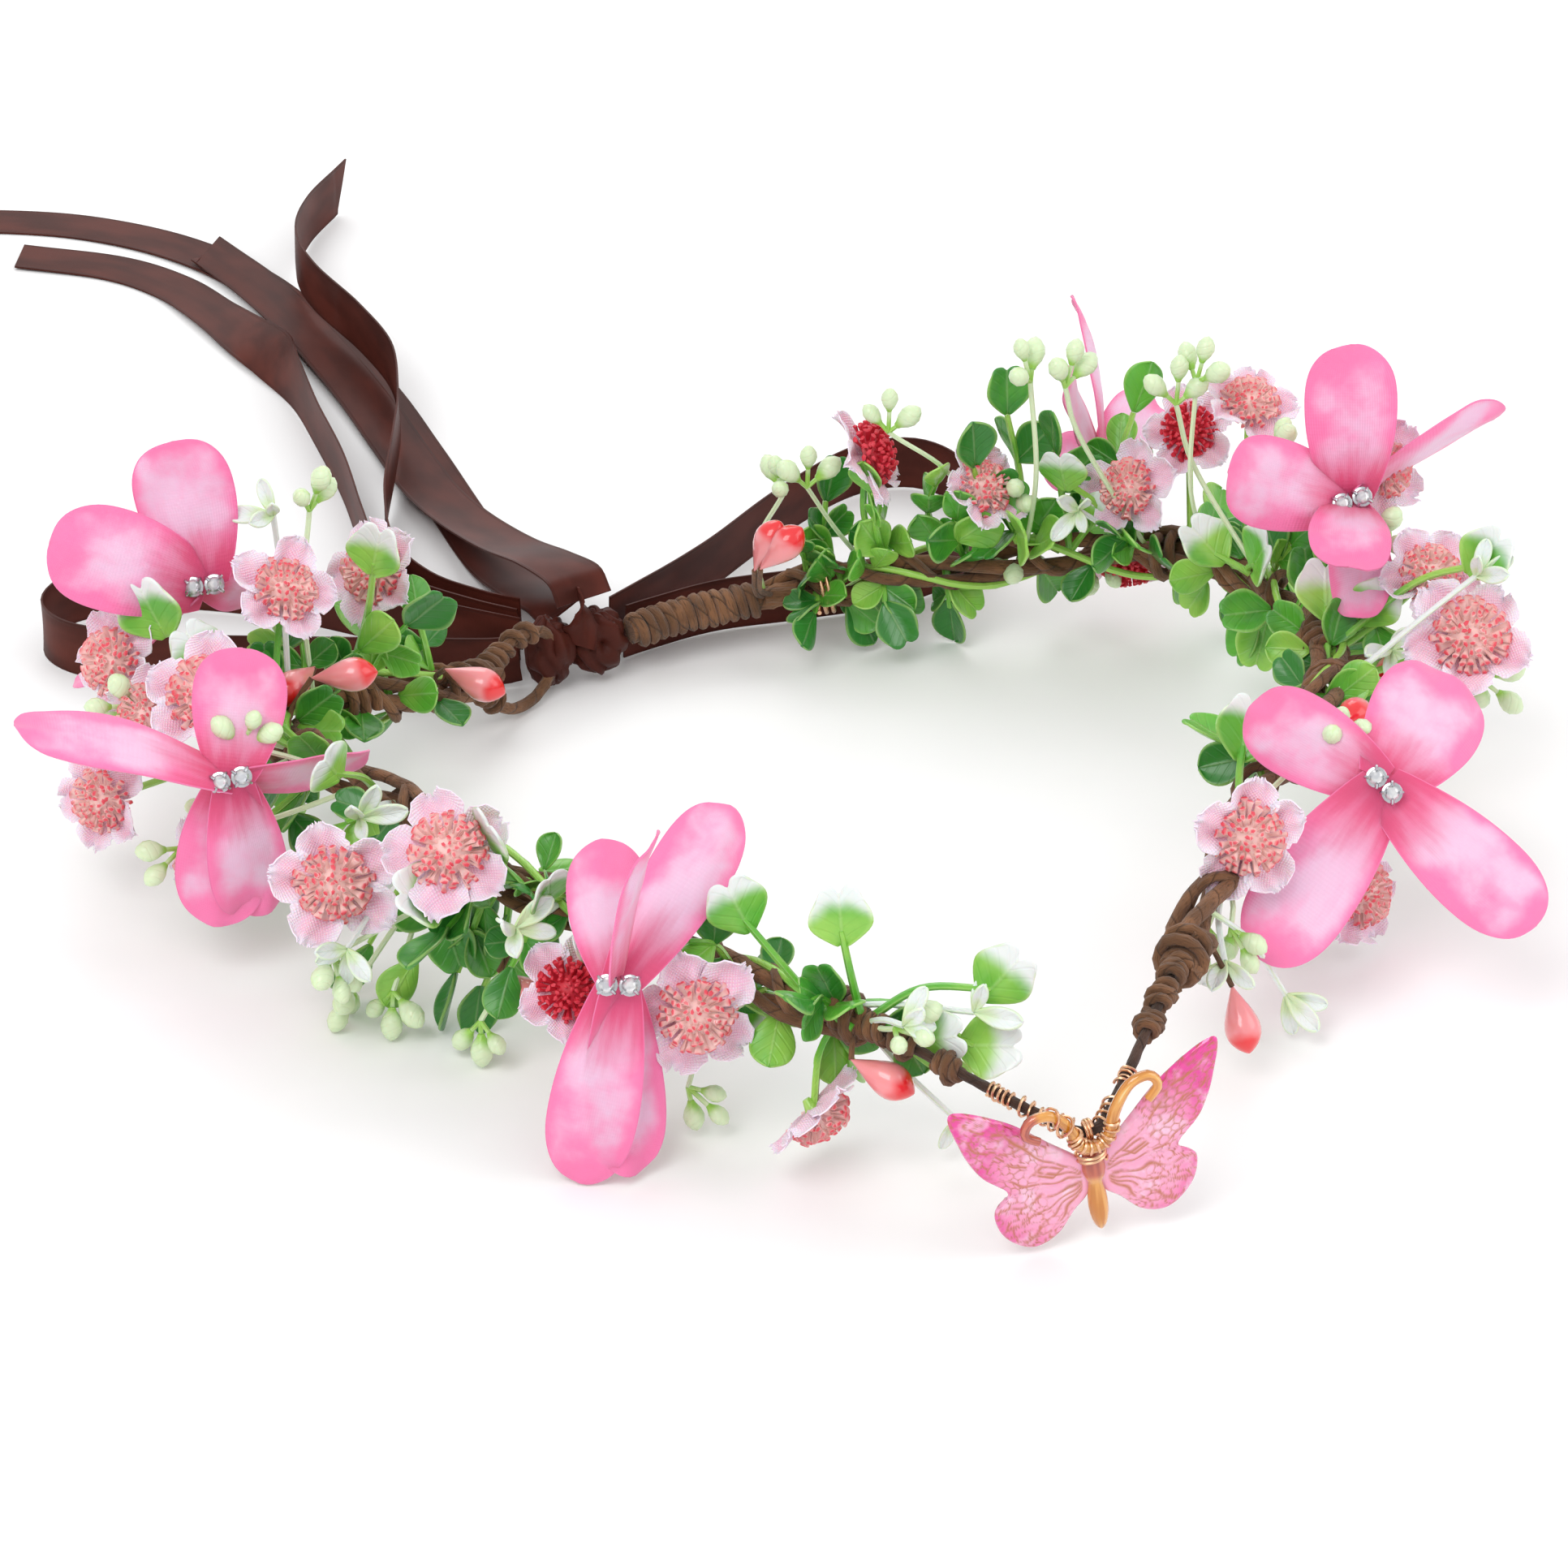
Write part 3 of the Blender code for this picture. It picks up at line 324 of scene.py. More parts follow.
class Finish:
    """A surface finish, built node by node on one shader."""

    def __init__(self, name, sockets):
        self.material = bpy.data.materials.new(name)
        self.material.use_nodes = True
        self.tree = self.material.node_tree
        self.shader = self.tree.nodes["Principled BSDF"]
        for socket, value in sockets.items():
            self.shader.inputs[socket].default_value = value
        spots = self.node("ShaderNodeTexCoord").outputs
        self.place = spots["Object"]
        self.uv = spots["UV"]
        apart = self.node("ShaderNodeSeparateXYZ", {0: self.uv}).outputs
        self.across = apart[0]
        self.along = apart[1]

    def node(self, kind, inputs=(), **settings):
        made = self.tree.nodes.new(kind)
        for key, value in settings.items():
            setattr(made, key, value)
        for key, value in dict(inputs).items():
            self.put(made.inputs[key], value)
        return made

    def put(self, socket, value):
        if isinstance(value, bpy.types.NodeSocket):
            self.tree.links.new(value, socket)
        elif socket.type == "RGBA" and len(value) == 3:
            socket.default_value = (*value, 1.0)
        else:
            socket.default_value = value

    def math(self, operation, first, second=0.0):
        return self.node("ShaderNodeMath", {0: first, 1: second}, operation=operation).outputs[0]

    def noise(self, source, scale, detail=3.0, stretch=(1.0, 1.0, 1.0)):
        placed = self.node("ShaderNodeMapping", {"Vector": source, "Scale": stretch}).outputs[0]
        return self.node("ShaderNodeTexNoise",
                         {"Vector": placed, "Scale": scale, "Detail": detail}).outputs[0]

    def step(self, value, low, high):
        """A smooth rise from 0 to 1 between low and high."""
        return self.node("ShaderNodeMapRange", {"Value": value, "From Min": low, "From Max": high},
                         interpolation_type="SMOOTHSTEP").outputs[0]

    def wave(self, value, turns):
        return self.math("SINE", self.math("MULTIPLY", value, turns * math.tau))

    def strayed(self, value, cloud, amount):
        """A value that a cloudy pattern shifts up and down."""
        return self.math("ADD", value, self.math("MULTIPLY", self.math("SUBTRACT", cloud, 0.5), amount))

    def edge(self):
        """How near the side of the piece: 0 at its middle line, 1 at its two edges."""
        middle = self.math("SUBTRACT", self.across, 0.5)
        return self.math("MULTIPLY", self.math("ABSOLUTE", middle), 2.0)

    def mix(self, share, first, second):
        made = self.tree.nodes.new("ShaderNodeMix")
        made.data_type = "RGBA"
        self.put(made.inputs[0], share)
        self.put(made.inputs[6], first)
        self.put(made.inputs[7], second)
        return made.outputs[2]

    def done(self, colour, height=None, strength=0.5, distance=0.0003, roughness=None, metallic=None):
        self.put(self.shader.inputs["Base Color"], colour)
        if height is not None:
            bump = self.node("ShaderNodeBump", {"Height": height, "Strength": strength, "Distance": distance})
            self.put(self.shader.inputs["Normal"], bump.outputs[0])
        if roughness is not None:
            self.put(self.shader.inputs["Roughness"], roughness)
        if metallic is not None:
            self.put(self.shader.inputs["Metallic"], metallic)
        return self.material


def paper_finish(name, colour):
    """Crinkled florist's paper, wound as an overlapping strip, with painted shade in its creases and under
    each lap.
    """
    paper = Finish(name, {"Roughness": 0.82, "Specular IOR Level": 0.3, "Sheen Weight": 0.15})
    strip = paper.math("FRACT", paper.math("ADD", paper.math("MULTIPLY", paper.along, 1.7), paper.across))
    # lip is 0 at the step where one turn of the strip laps the next, and rises to 1 just past it
    lip = paper.step(strip, 0.0, 0.12)
    crease = paper.noise(paper.uv, 5.0, 5.0, (5.0, 1.2, 1.0))
    blotch = paper.noise(paper.place, 170.0, 3.0)
    tone = paper.mix(paper.step(blotch, 0.35, 0.7), darker(colour, 0.62), darker(colour, 1.18))
    # painted shade: darker colour in the low parts of the crease noise, where the creases sink
    tone = paper.mix(paper.step(crease, 0.3, 0.48), darker(colour, 0.42), tone)
    # painted shade: a dark line at the step under each lap of the strip
    tone = paper.mix(lip, darker(colour, 0.35), tone)
    height = paper.math("ADD", crease, paper.math("MULTIPLY", lip, 0.5))
    return paper.done(tone, height, 0.8, 0.0005)


def satin_ribbon(colours):
    satin = Finish("satin_ribbon", {
        "Roughness": 0.42, "Anisotropic": 0.5, "Specular IOR Level": 0.12})
    weft = satin.wave(satin.along, 34.0)
    drift = satin.noise(satin.uv, 1.6, 2.0, (1.0, 0.35, 1.0))
    selvedge = satin.step(satin.edge(), 0.86, 0.93)
    tone = satin.mix(satin.step(drift, 0.3, 0.7),
                     darker(colours.ribbon, 0.66), darker(colours.ribbon, 1.25))
    tone = satin.mix(satin.math("MULTIPLY", selvedge, 0.45), tone, darker(colours.ribbon, 0.5))
    height = satin.math("ADD", satin.math("MULTIPLY", weft, 0.06), selvedge)
    return satin.done(tone, height, 0.35, 0.00012)


def wing_satin(colours):
    """Stiffened sheer satin, dyed from a rose base through a pale middle to a hot rim."""
    satin = Finish("wing_satin", {
        "Roughness": 0.5, "Sheen Weight": 0.35, "Sheen Roughness": 0.4, "Alpha": 0.9,
        "Specular IOR Level": 0.35, "Subsurface Weight": 0.25, "Subsurface Scale": 0.002,
        "Subsurface Radius": (1.0, 0.5, 0.6)})
    cloud = satin.noise(satin.place, 95.0, 4.0)
    streak = satin.noise(satin.uv, 3.0, 4.0, (1.5, 1.0, 1.0))
    side = satin.math("MULTIPLY", satin.math("POWER", satin.edge(), 3.0), 0.9)
    tip = satin.step(satin.along, 0.35, 1.0)
    rim = satin.math("MAXIMUM", side, tip)
    rim = satin.strayed(rim, cloud, 2.4)
    tone = satin.mix(satin.step(rim, -0.15, 0.75), colours.wing_middle, colours.wing_rim)
    veined = satin.math("MULTIPLY", satin.step(streak, 0.45, 0.75), 0.22)
    tone = satin.mix(veined, tone, colours.wing_rim)
    root = satin.strayed(satin.along, streak, 0.3)
    tone = satin.mix(satin.step(root, 0.03, 0.3), colours.wing_base, tone)
    tone = satin.mix(satin.step(satin.edge(), 0.95, 0.995), tone, darker(colours.wing_rim, 0.9))
    weave = satin.math("ADD", satin.wave(satin.across, 38.0), satin.wave(satin.along, 62.0))
    height = satin.math("ADD", satin.math("MULTIPLY", weave, 0.10), streak)
    return satin.done(tone, height, 0.35, 0.0003)


def petal_cloth(colours):
    cloth = Finish("blossom_cloth", {"Roughness": 0.8, "Sheen Weight": 0.4, "Specular IOR Level": 0.2,
                                     "Subsurface Weight": 0.2, "Subsurface Scale": 0.001})
    cloud = cloth.noise(cloth.place, 120.0, 3.0)
    outer = cloth.math("MAXIMUM", cloth.edge(), cloth.step(cloth.along, 0.45, 1.0))
    outer = cloth.strayed(outer, cloud, 0.9)
    tone = cloth.mix(cloth.step(outer, 0.35, 1.0), colours.petal, colours.petal_edge)
    tone = cloth.mix(cloth.step(cloth.along, 0.05, 0.4), darker(colours.petal, 0.8), tone)
    weave = cloth.math("MULTIPLY", cloth.wave(cloth.across, 15.0), cloth.wave(cloth.along, 15.0))
    # painted highlight: paler colour at the raised points of the weave, where the bump is highest
    tone = cloth.mix(cloth.step(weave, 0.2, 0.9), tone, cloth.mix(0.5, tone, (1.0, 1.0, 1.0)))
    return cloth.done(tone, weave, 0.5, 0.0002)


def stamen_finish(name, stalk, tip):
    stamen = Finish(name, {"Roughness": 0.45, "Subsurface Weight": 0.15, "Subsurface Scale": 0.001})
    cloud = stamen.noise(stamen.place, 420.0, 2.0)
    share = stamen.strayed(stamen.along, cloud, 0.55)
    tone = stamen.mix(stamen.step(share, 0.62, 1.02), stalk, tip)
    return stamen.done(tone, cloud, 0.4, 0.0002)


def pip_gloss(colours):
    gloss = Finish("pip_gloss", {"Roughness": 0.3, "Coat Weight": 1.0, "Coat Roughness": 0.06,
                                 "Subsurface Weight": 0.2, "Subsurface Scale": 0.002})
    cloud = gloss.noise(gloss.place, 180.0, 2.0)
    share = gloss.strayed(gloss.along, cloud, 0.25)
    skin = gloss.mix(gloss.step(cloud, 0.3, 0.7), darker(colours.pip, 0.92), colours.pip)
    tone = gloss.mix(gloss.step(share, 0.6, 0.72), skin, colours.pip_tip)
    return gloss.done(tone, cloud, 0.25, 0.0002)


def leaf_finish(name, base, dark, tip, tip_start):
    """Moulded leaf: raised veins, blotched green, and where asked a painted tip."""
    leaf = Finish(name, {"Roughness": 0.3, "Specular IOR Level": 0.4, "Coat Weight": 0.25,
                         "Coat Roughness": 0.15, "Subsurface Weight": 0.12, "Subsurface Scale": 0.001})
    cloud = leaf.noise(leaf.place, 75.0, 4.0)
    tone = leaf.mix(leaf.step(cloud, 0.34, 0.68), dark, base)
    share = leaf.strayed(leaf.along, cloud, 0.5)
    share = leaf.math("ADD", share, leaf.math("MULTIPLY", leaf.edge(), 0.10))
    tone = leaf.mix(leaf.step(share, tip_start, tip_start + 0.3), tone, tip)
    rib = leaf.step(leaf.edge(), 0.0, 0.10)
    slanted = leaf.math("SUBTRACT", leaf.along, leaf.math("MULTIPLY", leaf.edge(), 0.35))
    veins = leaf.step(leaf.wave(slanted, 5.0), 0.55, 1.0)
    tone = leaf.mix(leaf.math("MULTIPLY", leaf.math("SUBTRACT", 1.0, rib), 0.14), tone, (0.75, 0.9, 0.5))
    tone = leaf.mix(leaf.math("MULTIPLY", leaf.step(leaf.edge(), 0.82, 1.0), 0.35), tone, (0.55, 0.78, 0.25))
    height = leaf.math("SUBTRACT", leaf.math("MULTIPLY", cloud, 0.8),
                       leaf.math("ADD", rib, leaf.math("MULTIPLY", veins, 0.4)))
    return leaf.done(tone, height, 0.4, 0.0003)


def metal_finish(name, colour, roughness):
    metal = Finish(name, {"Metallic": 1.0})
    cloud = metal.noise(metal.place, 600.0, 2.0)
    tone = metal.mix(cloud, darker(colour, 0.8), colour)
    rough = metal.math("ADD", metal.math("MULTIPLY", cloud, 0.15), roughness)
    return metal.done(tone, cloud, 0.15, 0.0001, roughness=rough)


def crystal_finish():
    stone = Finish("crystal", {"Roughness": 0.03, "IOR": 1.9, "Transmission Weight": 0.45, "Coat Weight": 1.0,
                               "Coat Roughness": 0.02, "Metallic": 0.1})
    spark = stone.noise(stone.place, 900.0, 1.0)
    # painted reflection: noise patches from grey to white stand in for the sparkle of the facets
    tone = stone.mix(stone.step(spark, 0.4, 0.6), (0.74, 0.76, 0.80), (1.0, 1.0, 1.0))
    return stone.done(tone, spark, 0.1, 0.0001)


def charm_finish(colours):
    """Poured resin, dyed to the rims, with foil laid in its raised lines."""
    resin = Finish("charm_resin", {
        "Coat Weight": 1.0, "Coat Roughness": 0.05, "Subsurface Weight": 0.2, "Subsurface Scale": 0.002})
    foil = resin.node("ShaderNodeAttribute", attribute_name="foil").outputs["Fac"]
    cloud = resin.noise(resin.place, 220.0, 4.0)
    rim = resin.strayed(resin.along, cloud, 0.5)
    tone = resin.mix(resin.step(rim, 0.2, 0.85), colours.resin, colours.resin_edge)
    tone = resin.mix(resin.step(cloud, 0.48, 0.66), tone, resin.mix(0.4, tone, (0.98, 0.84, 0.95)))
    worn = resin.math("MULTIPLY", foil, resin.step(resin.noise(resin.place, 420.0, 2.0), 0.32, 0.5))
    tone = resin.mix(worn, tone, colours.foil)
    rough = resin.math("ADD", 0.12, resin.math("MULTIPLY", worn, 0.12))
    return resin.done(tone, cloud, 0.2, 0.0002, roughness=rough, metallic=resin.math("MULTIPLY", worn, 0.7))


def amber_finish(colours):
    amber = Finish("amber_resin", {"Roughness": 0.05, "IOR": 1.5, "Transmission Weight": 0.3,
                                   "Coat Weight": 1.0, "Coat Roughness": 0.03})
    cloud = amber.noise(amber.place, 260.0, 3.0)
    # painted light: dark and bright streaks stand in for the resin's dark refracted edges and its highlights
    streak = amber.noise(amber.uv, 2.2, 2.0, (2.4, 0.5, 1.0))
    amber_painted_light = amber.mix(amber.step(streak, 0.40, 0.58), (0.66, 0.24, 0.02), colours.amber)
    amber_painted_light = amber.mix(amber.step(streak, 0.60, 0.68), amber_painted_light, (1.0, 0.75, 0.32))
    # the rose thorax gets the same painted dark and bright streaks
    thorax_painted_light = amber.mix(amber.step(streak, 0.40, 0.60), (0.40, 0.06, 0.04), (0.72, 0.17, 0.09))
    tone = amber.mix(amber.step(amber.along, 0.55, 0.7), thorax_painted_light, amber_painted_light)
    return amber.done(tone, cloud, 0.15, 0.0002)


def floor_finish():
    floor = Finish("studio_floor", {"Roughness": 0.9, "Specular IOR Level": 0.1})
    grain = floor.noise(floor.place, 40.0, 2.0)
    return floor.done(floor.mix(grain, (0.93, 0.93, 0.935), (0.95, 0.95, 0.95)), grain, 0.02, 0.0002)


def finish(name):
    """The finish of that name, made the first time it is asked for."""
    found = bpy.data.materials.get("crown_" + name)
    if found:
        return found
    colours = bpy.context.scene.crown_colours
    makers = {
        "vine_paper": lambda: paper_finish("paper", colours.vine),
        "dark_wire": lambda: paper_finish("wire paper", colours.wire),
        "satin_ribbon": lambda: satin_ribbon(colours),
        "wing_satin": lambda: wing_satin(colours),
        "blossom_cloth": lambda: petal_cloth(colours),
        "stamen": lambda: stamen_finish("stamen", colours.stamen, colours.stamen_tip),
        "stamen_red": lambda: stamen_finish("red stamen", colours.stamen_red, colours.stamen_red),
        "pip_gloss": lambda: pip_gloss(colours),
        "leaf": lambda: leaf_finish("leaf", colours.leaf, colours.leaf_dark, colours.leaf_light, 1.05),
        "leaf_dark": lambda: leaf_finish("dark", colours.leaf_dark, colours.leaf_dark, colours.leaf, 1.0),
        "leaf_tipped": lambda: leaf_finish("tipped", colours.leaf_light, colours.leaf, colours.leaf_tip, 0.5),
        "floret": lambda: leaf_finish("floret", colours.bud, colours.bud, colours.leaf_tip, 0.25),
        "stem": lambda: leaf_finish("stem", colours.leaf_light, colours.leaf, colours.leaf_light, 2.0),
        "bud": lambda: leaf_finish("bud", colours.leaf_light, colours.leaf_light, colours.bud, 0.15),
        "crystal": crystal_finish,
        "silver": lambda: metal_finish("silver", colours.silver, 0.18),
        "copper_wire": lambda: metal_finish("copper", colours.copper, 0.2),
        "charm_resin": lambda: charm_finish(colours),
        "amber_resin": lambda: amber_finish(colours),
    }
    made = makers[name]()
    made.name = "crown_" + name
    return made


# ---------------------------------------------------------------- bench work
def bench(point):
    """A bench point in millimetres as a point of the part in metres."""
    return (Vector(point[:3]) - ORIGIN) * MM


def smooth_path(points, step):
    """Evenly spaced points on a Catmull-Rom curve through the given points."""
    ends = [2 * points[0] - points[1], *points, 2 * points[-1] - points[-2]]
    fine = []
    for a, b, c, d in zip(ends, ends[1:], ends[2:], ends[3:]):
        for part in range(16):
            t = part / 16
            fine.append(0.5 * (2 * b + (c - a) * t + (2 * a - 5 * b + 4 * c - d) * t * t
                               + (3 * b - a - 3 * c + d) * t ** 3))
    fine.append(points[-1].copy())
    lengths = [0.0]
    for a, b in zip(fine, fine[1:]):
        lengths.append(lengths[-1] + (b - a).length)
    count = max(2, round(lengths[-1] / step))
    result = []
    at = 0
    for index in range(count + 1):
        wanted = lengths[-1] * index / count
        while at < len(fine) - 2 and lengths[at + 1] < wanted:
            at += 1
        share = (wanted - lengths[at]) / (lengths[at + 1] - lengths[at])
        result.append(fine[at].lerp(fine[at + 1], min(1.0, share)))
    return result


def nearest(path, point):
    return min(path, key=lambda spot: (spot - point).length)


def rooted(path, point, draw):
    """Where a stem that ends at the point leaves the vine: some way along from the nearest spot."""
    near = min(range(len(path)), key=lambda index: (path[index] - point).length)
    step = (path[1] - path[0]).length
    shift = round(draw.choice((-1, 1)) * draw.uniform(5, 11) * MM / step)
    return path[max(0, min(len(path) - 1, near + shift))]


def carried(points):
    """The way ahead and two square directions at each point, carried along without twist."""
    last = len(points) - 1
    side = None
    result = []
    for index in range(last + 1):
        ahead = (points[min(index + 1, last)] - points[max(index - 1, 0)]).normalized()
        if side is None:
            side = ahead.cross(UP) if abs(ahead.z) < 0.9 else ahead.orthogonal()
        side = (side - side.dot(ahead) * ahead).normalized()
        result.append((ahead, side, ahead.cross(side)))
    return result


def select_only(items):
    bpy.ops.object.select_all(action="DESELECT")
    for item in items:
        item.select_set(True)
    bpy.context.view_layer.objects.active = items[0]


def joined(items):
    """One object from many."""
    select_only(items)
    if len(items) > 1:
        bpy.ops.object.join()
    return bpy.context.object


def shaped_grid(columns, rows, place, uv_length=1.0):
    """A sheet whose every point is set by place(across, along, column, row)."""
    bpy.ops.object.select_all(action="DESELECT")
    bpy.ops.mesh.primitive_grid_add(x_subdivisions=columns, y_subdivisions=rows, size=1.0)
    item = bpy.context.object
    for vertex in item.data.vertices:
        row, column = divmod(vertex.index, columns + 1)
        vertex.co = place(column / columns, row / rows, column, row)
    if uv_length != 1.0:
        for spot in item.data.uv_layers.active.data:
            spot.uv.y *= uv_length
    return item


def tube(points, radius, sides=8, flat=1.0, unit=UV_UNIT):
    """Round stock along a route. The radius is a number or a function of (along, angle)."""
    ways = carried(points)
    length = sum((b - a).length for a, b in zip(points, points[1:]))

    def place(_, along, column, row):
        angle = math.tau * (column % sides) / sides
        _, side, upward = ways[row]
        reach = radius(along, angle) if callable(radius) else radius
        return points[row] + reach * (math.cos(angle) * side + flat * math.sin(angle) * upward)

    return shaped_grid(sides, len(points) - 1, place, length / unit if unit else 1.0)


def wound(path, start, end, turns, reach, radius, sides=6, phase=0.0, steps=12, wander=0.0):
    """Wire or paper cord wound round a route, between two shares of its length."""
    ways = carried(path)
    last = len(path) - 1
    points = []
    for step in range(round(turns * steps) + 1):
        share = step / (turns * steps)
        spot = (start + (end - start) * share) * last
        low = min(int(spot), last - 1)
        centre = path[low].lerp(path[low + 1], spot - low)
        _, side, upward = ways[low]
        angle = phase + math.tau * turns * share
        out = reach * (1.0 + wander * noise.noise(Vector((step * 0.21, phase, turns))))
        points.append(centre + out * (math.cos(angle) * side + math.sin(angle) * upward))
    return tube(points, radius, sides)


def applied(item, kind, **settings):
    """Add a modifier and apply it."""
    select_only([item])
    modifier = item.modifiers.new(kind.lower(), kind)
    for key, value in settings.items():
        setattr(modifier, key, value)
    bpy.ops.object.modifier_apply(modifier=modifier.name)
    return item


def thickened(item, thickness, levels=0):
    applied(item, "SOLIDIFY", thickness=thickness, offset=0.0)
    if levels:
        applied(item, "SUBSURF", levels=levels, render_levels=levels)
    return item


def copied(item, place):
    """A copy with its own mesh, set at a place."""
    made = item.copy()
    made.data = item.data.copy()
    bpy.context.collection.objects.link(made)
    made.data.transform(place)
    return made


def planted(item, place):
    """A copy set at a place, and lifted clear of the table if it would dip into it."""
    made = copied(item, place)
    lowest = min(vertex.co.z for vertex in made.data.vertices)
    if lowest < TABLE_GAP:
        made.data.transform(Matrix.Translation((0, 0, TABLE_GAP - lowest)))
    return made


def setting(origin, ahead, facing, size=1.0):
    """Where a piece modelled along +Y and facing +Z is set."""
    ahead = ahead.normalized()
    facing = (facing - facing.dot(ahead) * ahead).normalized()
    turn = Matrix((ahead.cross(facing), ahead, facing)).transposed().to_4x4()
    return Matrix.Translation(origin) @ turn @ Matrix.Scale(size, 4)


def piece(name, parts, finish_name, body="crown", replaces=(), angle=50.0, close=True):
    """Join parts into one finished piece that rides on a body."""
    item = joined(parts)
    item.name = name
    item.data.name = name
    bpy.ops.object.mode_set(mode="EDIT")
    bpy.ops.mesh.select_all(action="SELECT")
    bpy.ops.mesh.remove_doubles(threshold=MERGE_GAP)
    if close:
        bpy.ops.mesh.fill_holes(sides=0)
    bpy.ops.mesh.normals_make_consistent(inside=False)
    bpy.ops.mesh.select_all(action="DESELECT")
    bpy.ops.object.mode_set(mode="OBJECT")
    bpy.ops.object.shade_smooth_by_angle(angle=math.radians(angle))
    item.data.materials.clear()
    item.data.materials.append(finish(finish_name))
    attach(item, body)
    if replaces:
        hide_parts(*replaces)
    return item


def half_width(share, widest, neck, swell, fall, tip):
    """Half of a blade's width at a share of its length: it swells from a neck and rounds off at the tip."""
    if share <= widest:
        return neck + (1.0 - neck) * math.sin(0.5 * math.pi * share / widest) ** swell
    return max(0.0, 1.0 - ((share - widest) / (1.0 - widest)) ** fall) ** tip


def remove(items):
    for item in items:
        bpy.data.objects.remove(item, do_unlink=True)


def jitter(draw, size):
    return Vector([draw.uniform(-size, size) for _ in range(3)])


def vine_path(route):
    return smooth_path([bench(spot) for spot in route], ROUTE_STEP)


def fine_path(route):
    return smooth_path([bench(spot) for spot in route], FINE_STEP)


# ---------------------------------------------------------------- ribbon
def ribbon_strip(route, width, thickness, cut=0.0):
    """Ribbon along a route, slightly cupped, and its centre line."""
    points = smooth_path([Vector((*bench(spot), spot[3] * MM)) for spot in route], ROUTE_STEP)
    centres = [Vector(point[:3]) for point in points]
    last = len(points) - 1
    ways = []
    for index, point in enumerate(points):
        ahead = (centres[min(index + 1, last)] - centres[max(index - 1, 0)]).normalized()
        upright = (UP - ahead.z * ahead).normalized()
        across = Matrix.Rotation(math.radians(point[3] / MM), 3, ahead) @ upright
        ways.append((ahead, across, ahead.cross(across)))

    def place(u, v, _, row):
        ahead, across, out = ways[row]
        side = 2 * u - 1
        cup = 0.22 * MM * (side * side - 0.4) * math.sin(5 * math.pi * v)
        ripple = 0.12 * MM * noise.noise(Vector((side, v * 14, 0.3)))
        slant = cut * MM * side if row == last else 0.0
        return centres[row] + across * side * width / 2 + out * (cup + ripple) + ahead * slant

    length = sum((b - a).length for a, b in zip(centres, centres[1:]))
    item = shaped_grid(8, last, place, length / UV_UNIT)
    return thickened(item, thickness), centres


def gathered_lump(centre, size, dimple=None):
    """A lump of knotted ribbon with gathered folds."""
    bpy.ops.object.select_all(action="DESELECT")
    bpy.ops.mesh.primitive_uv_sphere_add(segments=48, ring_count=28, radius=1.0)
    item = bpy.context.object
    for vertex in item.data.vertices:
        way = vertex.co.copy()
        around = math.atan2(way.y, way.x)
        ring = math.sqrt(max(0.0, 1.0 - way.z * way.z))
        swirl = around * 3 + 4.0 * way.z + 2.4 * noise.noise(way * 1.5 + centre * 0.37)
        fold = abs(math.sin(swirl)) ** 0.6
        reach = 0.80 + 0.24 * fold * ring + 0.12 * noise.noise(way * 2.4 + centre * 0.5)
        if dimple:
            reach -= 0.42 * max(0.0, way.dot(Vector(dimple).normalized())) ** 40
        vertex.co = Vector([value * scale * MM * reach for value, scale in zip(way, size)]) + bench(centre)
    return item


class CROWN_OT_ribbon(bpy.types.Operator):
    """Make the satin bow, its tails and its knot"""
    bl_idname = "crown.ribbon"
    bl_label = "Ribbon bow"

    def execute(self, context):
        sizes = context.scene.crown_sizes
        left = gathered_lump(Vector((-23.8, 67.2, 7.6)), (4.3, 4.3, 7.4))
        left = piece("knot_left", [left], "satin_ribbon", replaces=["ribbon_knot_left"])
        right = gathered_lump(Vector((-14.8, 68.4, 7.4)), (5.2, 4.4, 6.9), (0.15, -0.9, 0.1))
        right = piece("knot_right", [right], "satin_ribbon", replaces=["ribbon_knot_right"])
        fold, _ = ribbon_strip(TAIL_FOLD, 0.62 * sizes.ribbon_width, sizes.ribbon_thickness)
        fold = piece("tail_wide_fold", [fold], "satin_ribbon")
        going_with = {"bow_left": [left], "bow_right": [right], "tail_wide": [fold]}
        for name, (length, far_end, route) in RIBBONS.items():
            strip, centres = ribbon_strip(route, sizes.ribbon_width, sizes.ribbon_thickness,
                                          TAIL_CUTS.get(name, 0.0))
            item = piece(f"ribbon_{name}", [strip], "satin_ribbon", replaces=[name])
            tuple(centres[0])
            [tuple(centre) for centre in centres]
            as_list(going_with.get(name, []))
        return {"FINISHED"}


# ---------------------------------------------------------------- the hoop
def strand(path, phase, offset, wander, radius, seed):
    """One paper-covered vine that twists round the hoop's centre line and strays a little."""
    points = []
    ways = carried(path)
    for index, point in enumerate(path):
        _, side, upward = ways[index]
        run = index * ROUTE_STEP
        fade = min(1.0, index / 6, (len(path) - 1 - index) / 6)
        stray = wander * (0.5 + 0.5 * noise.noise(Vector((run * 38, seed, 0.5)))) * fade
        angle = math.tau * run / TWIST_LENGTH + phase + 0.6 * noise.noise(Vector((run * 30, 3.0, seed)))
        points.append(point + (offset + stray) * (math.cos(angle) * side + math.sin(angle) * upward))

    def reach(along, angle):
        ridge = math.sin(angle + along * len(path) * 2 * 0.9)
        around = (math.cos(angle) * 2, math.sin(angle) * 2)
        crinkle = noise.noise(Vector((*around, along * len(path) * 0.9 + seed)))
        return radius * (1.0 + 0.07 * ridge + 0.10 * crinkle)

    return tube(points, reach, 12)


def crumpled(radius, seed):
    """Radius of paper cord that creases as it bends."""
    def reach(along, angle):
        return radius * (1.0 + 0.22 * noise.noise(Vector((angle * 0.8, along * 40, seed))))
    return reach


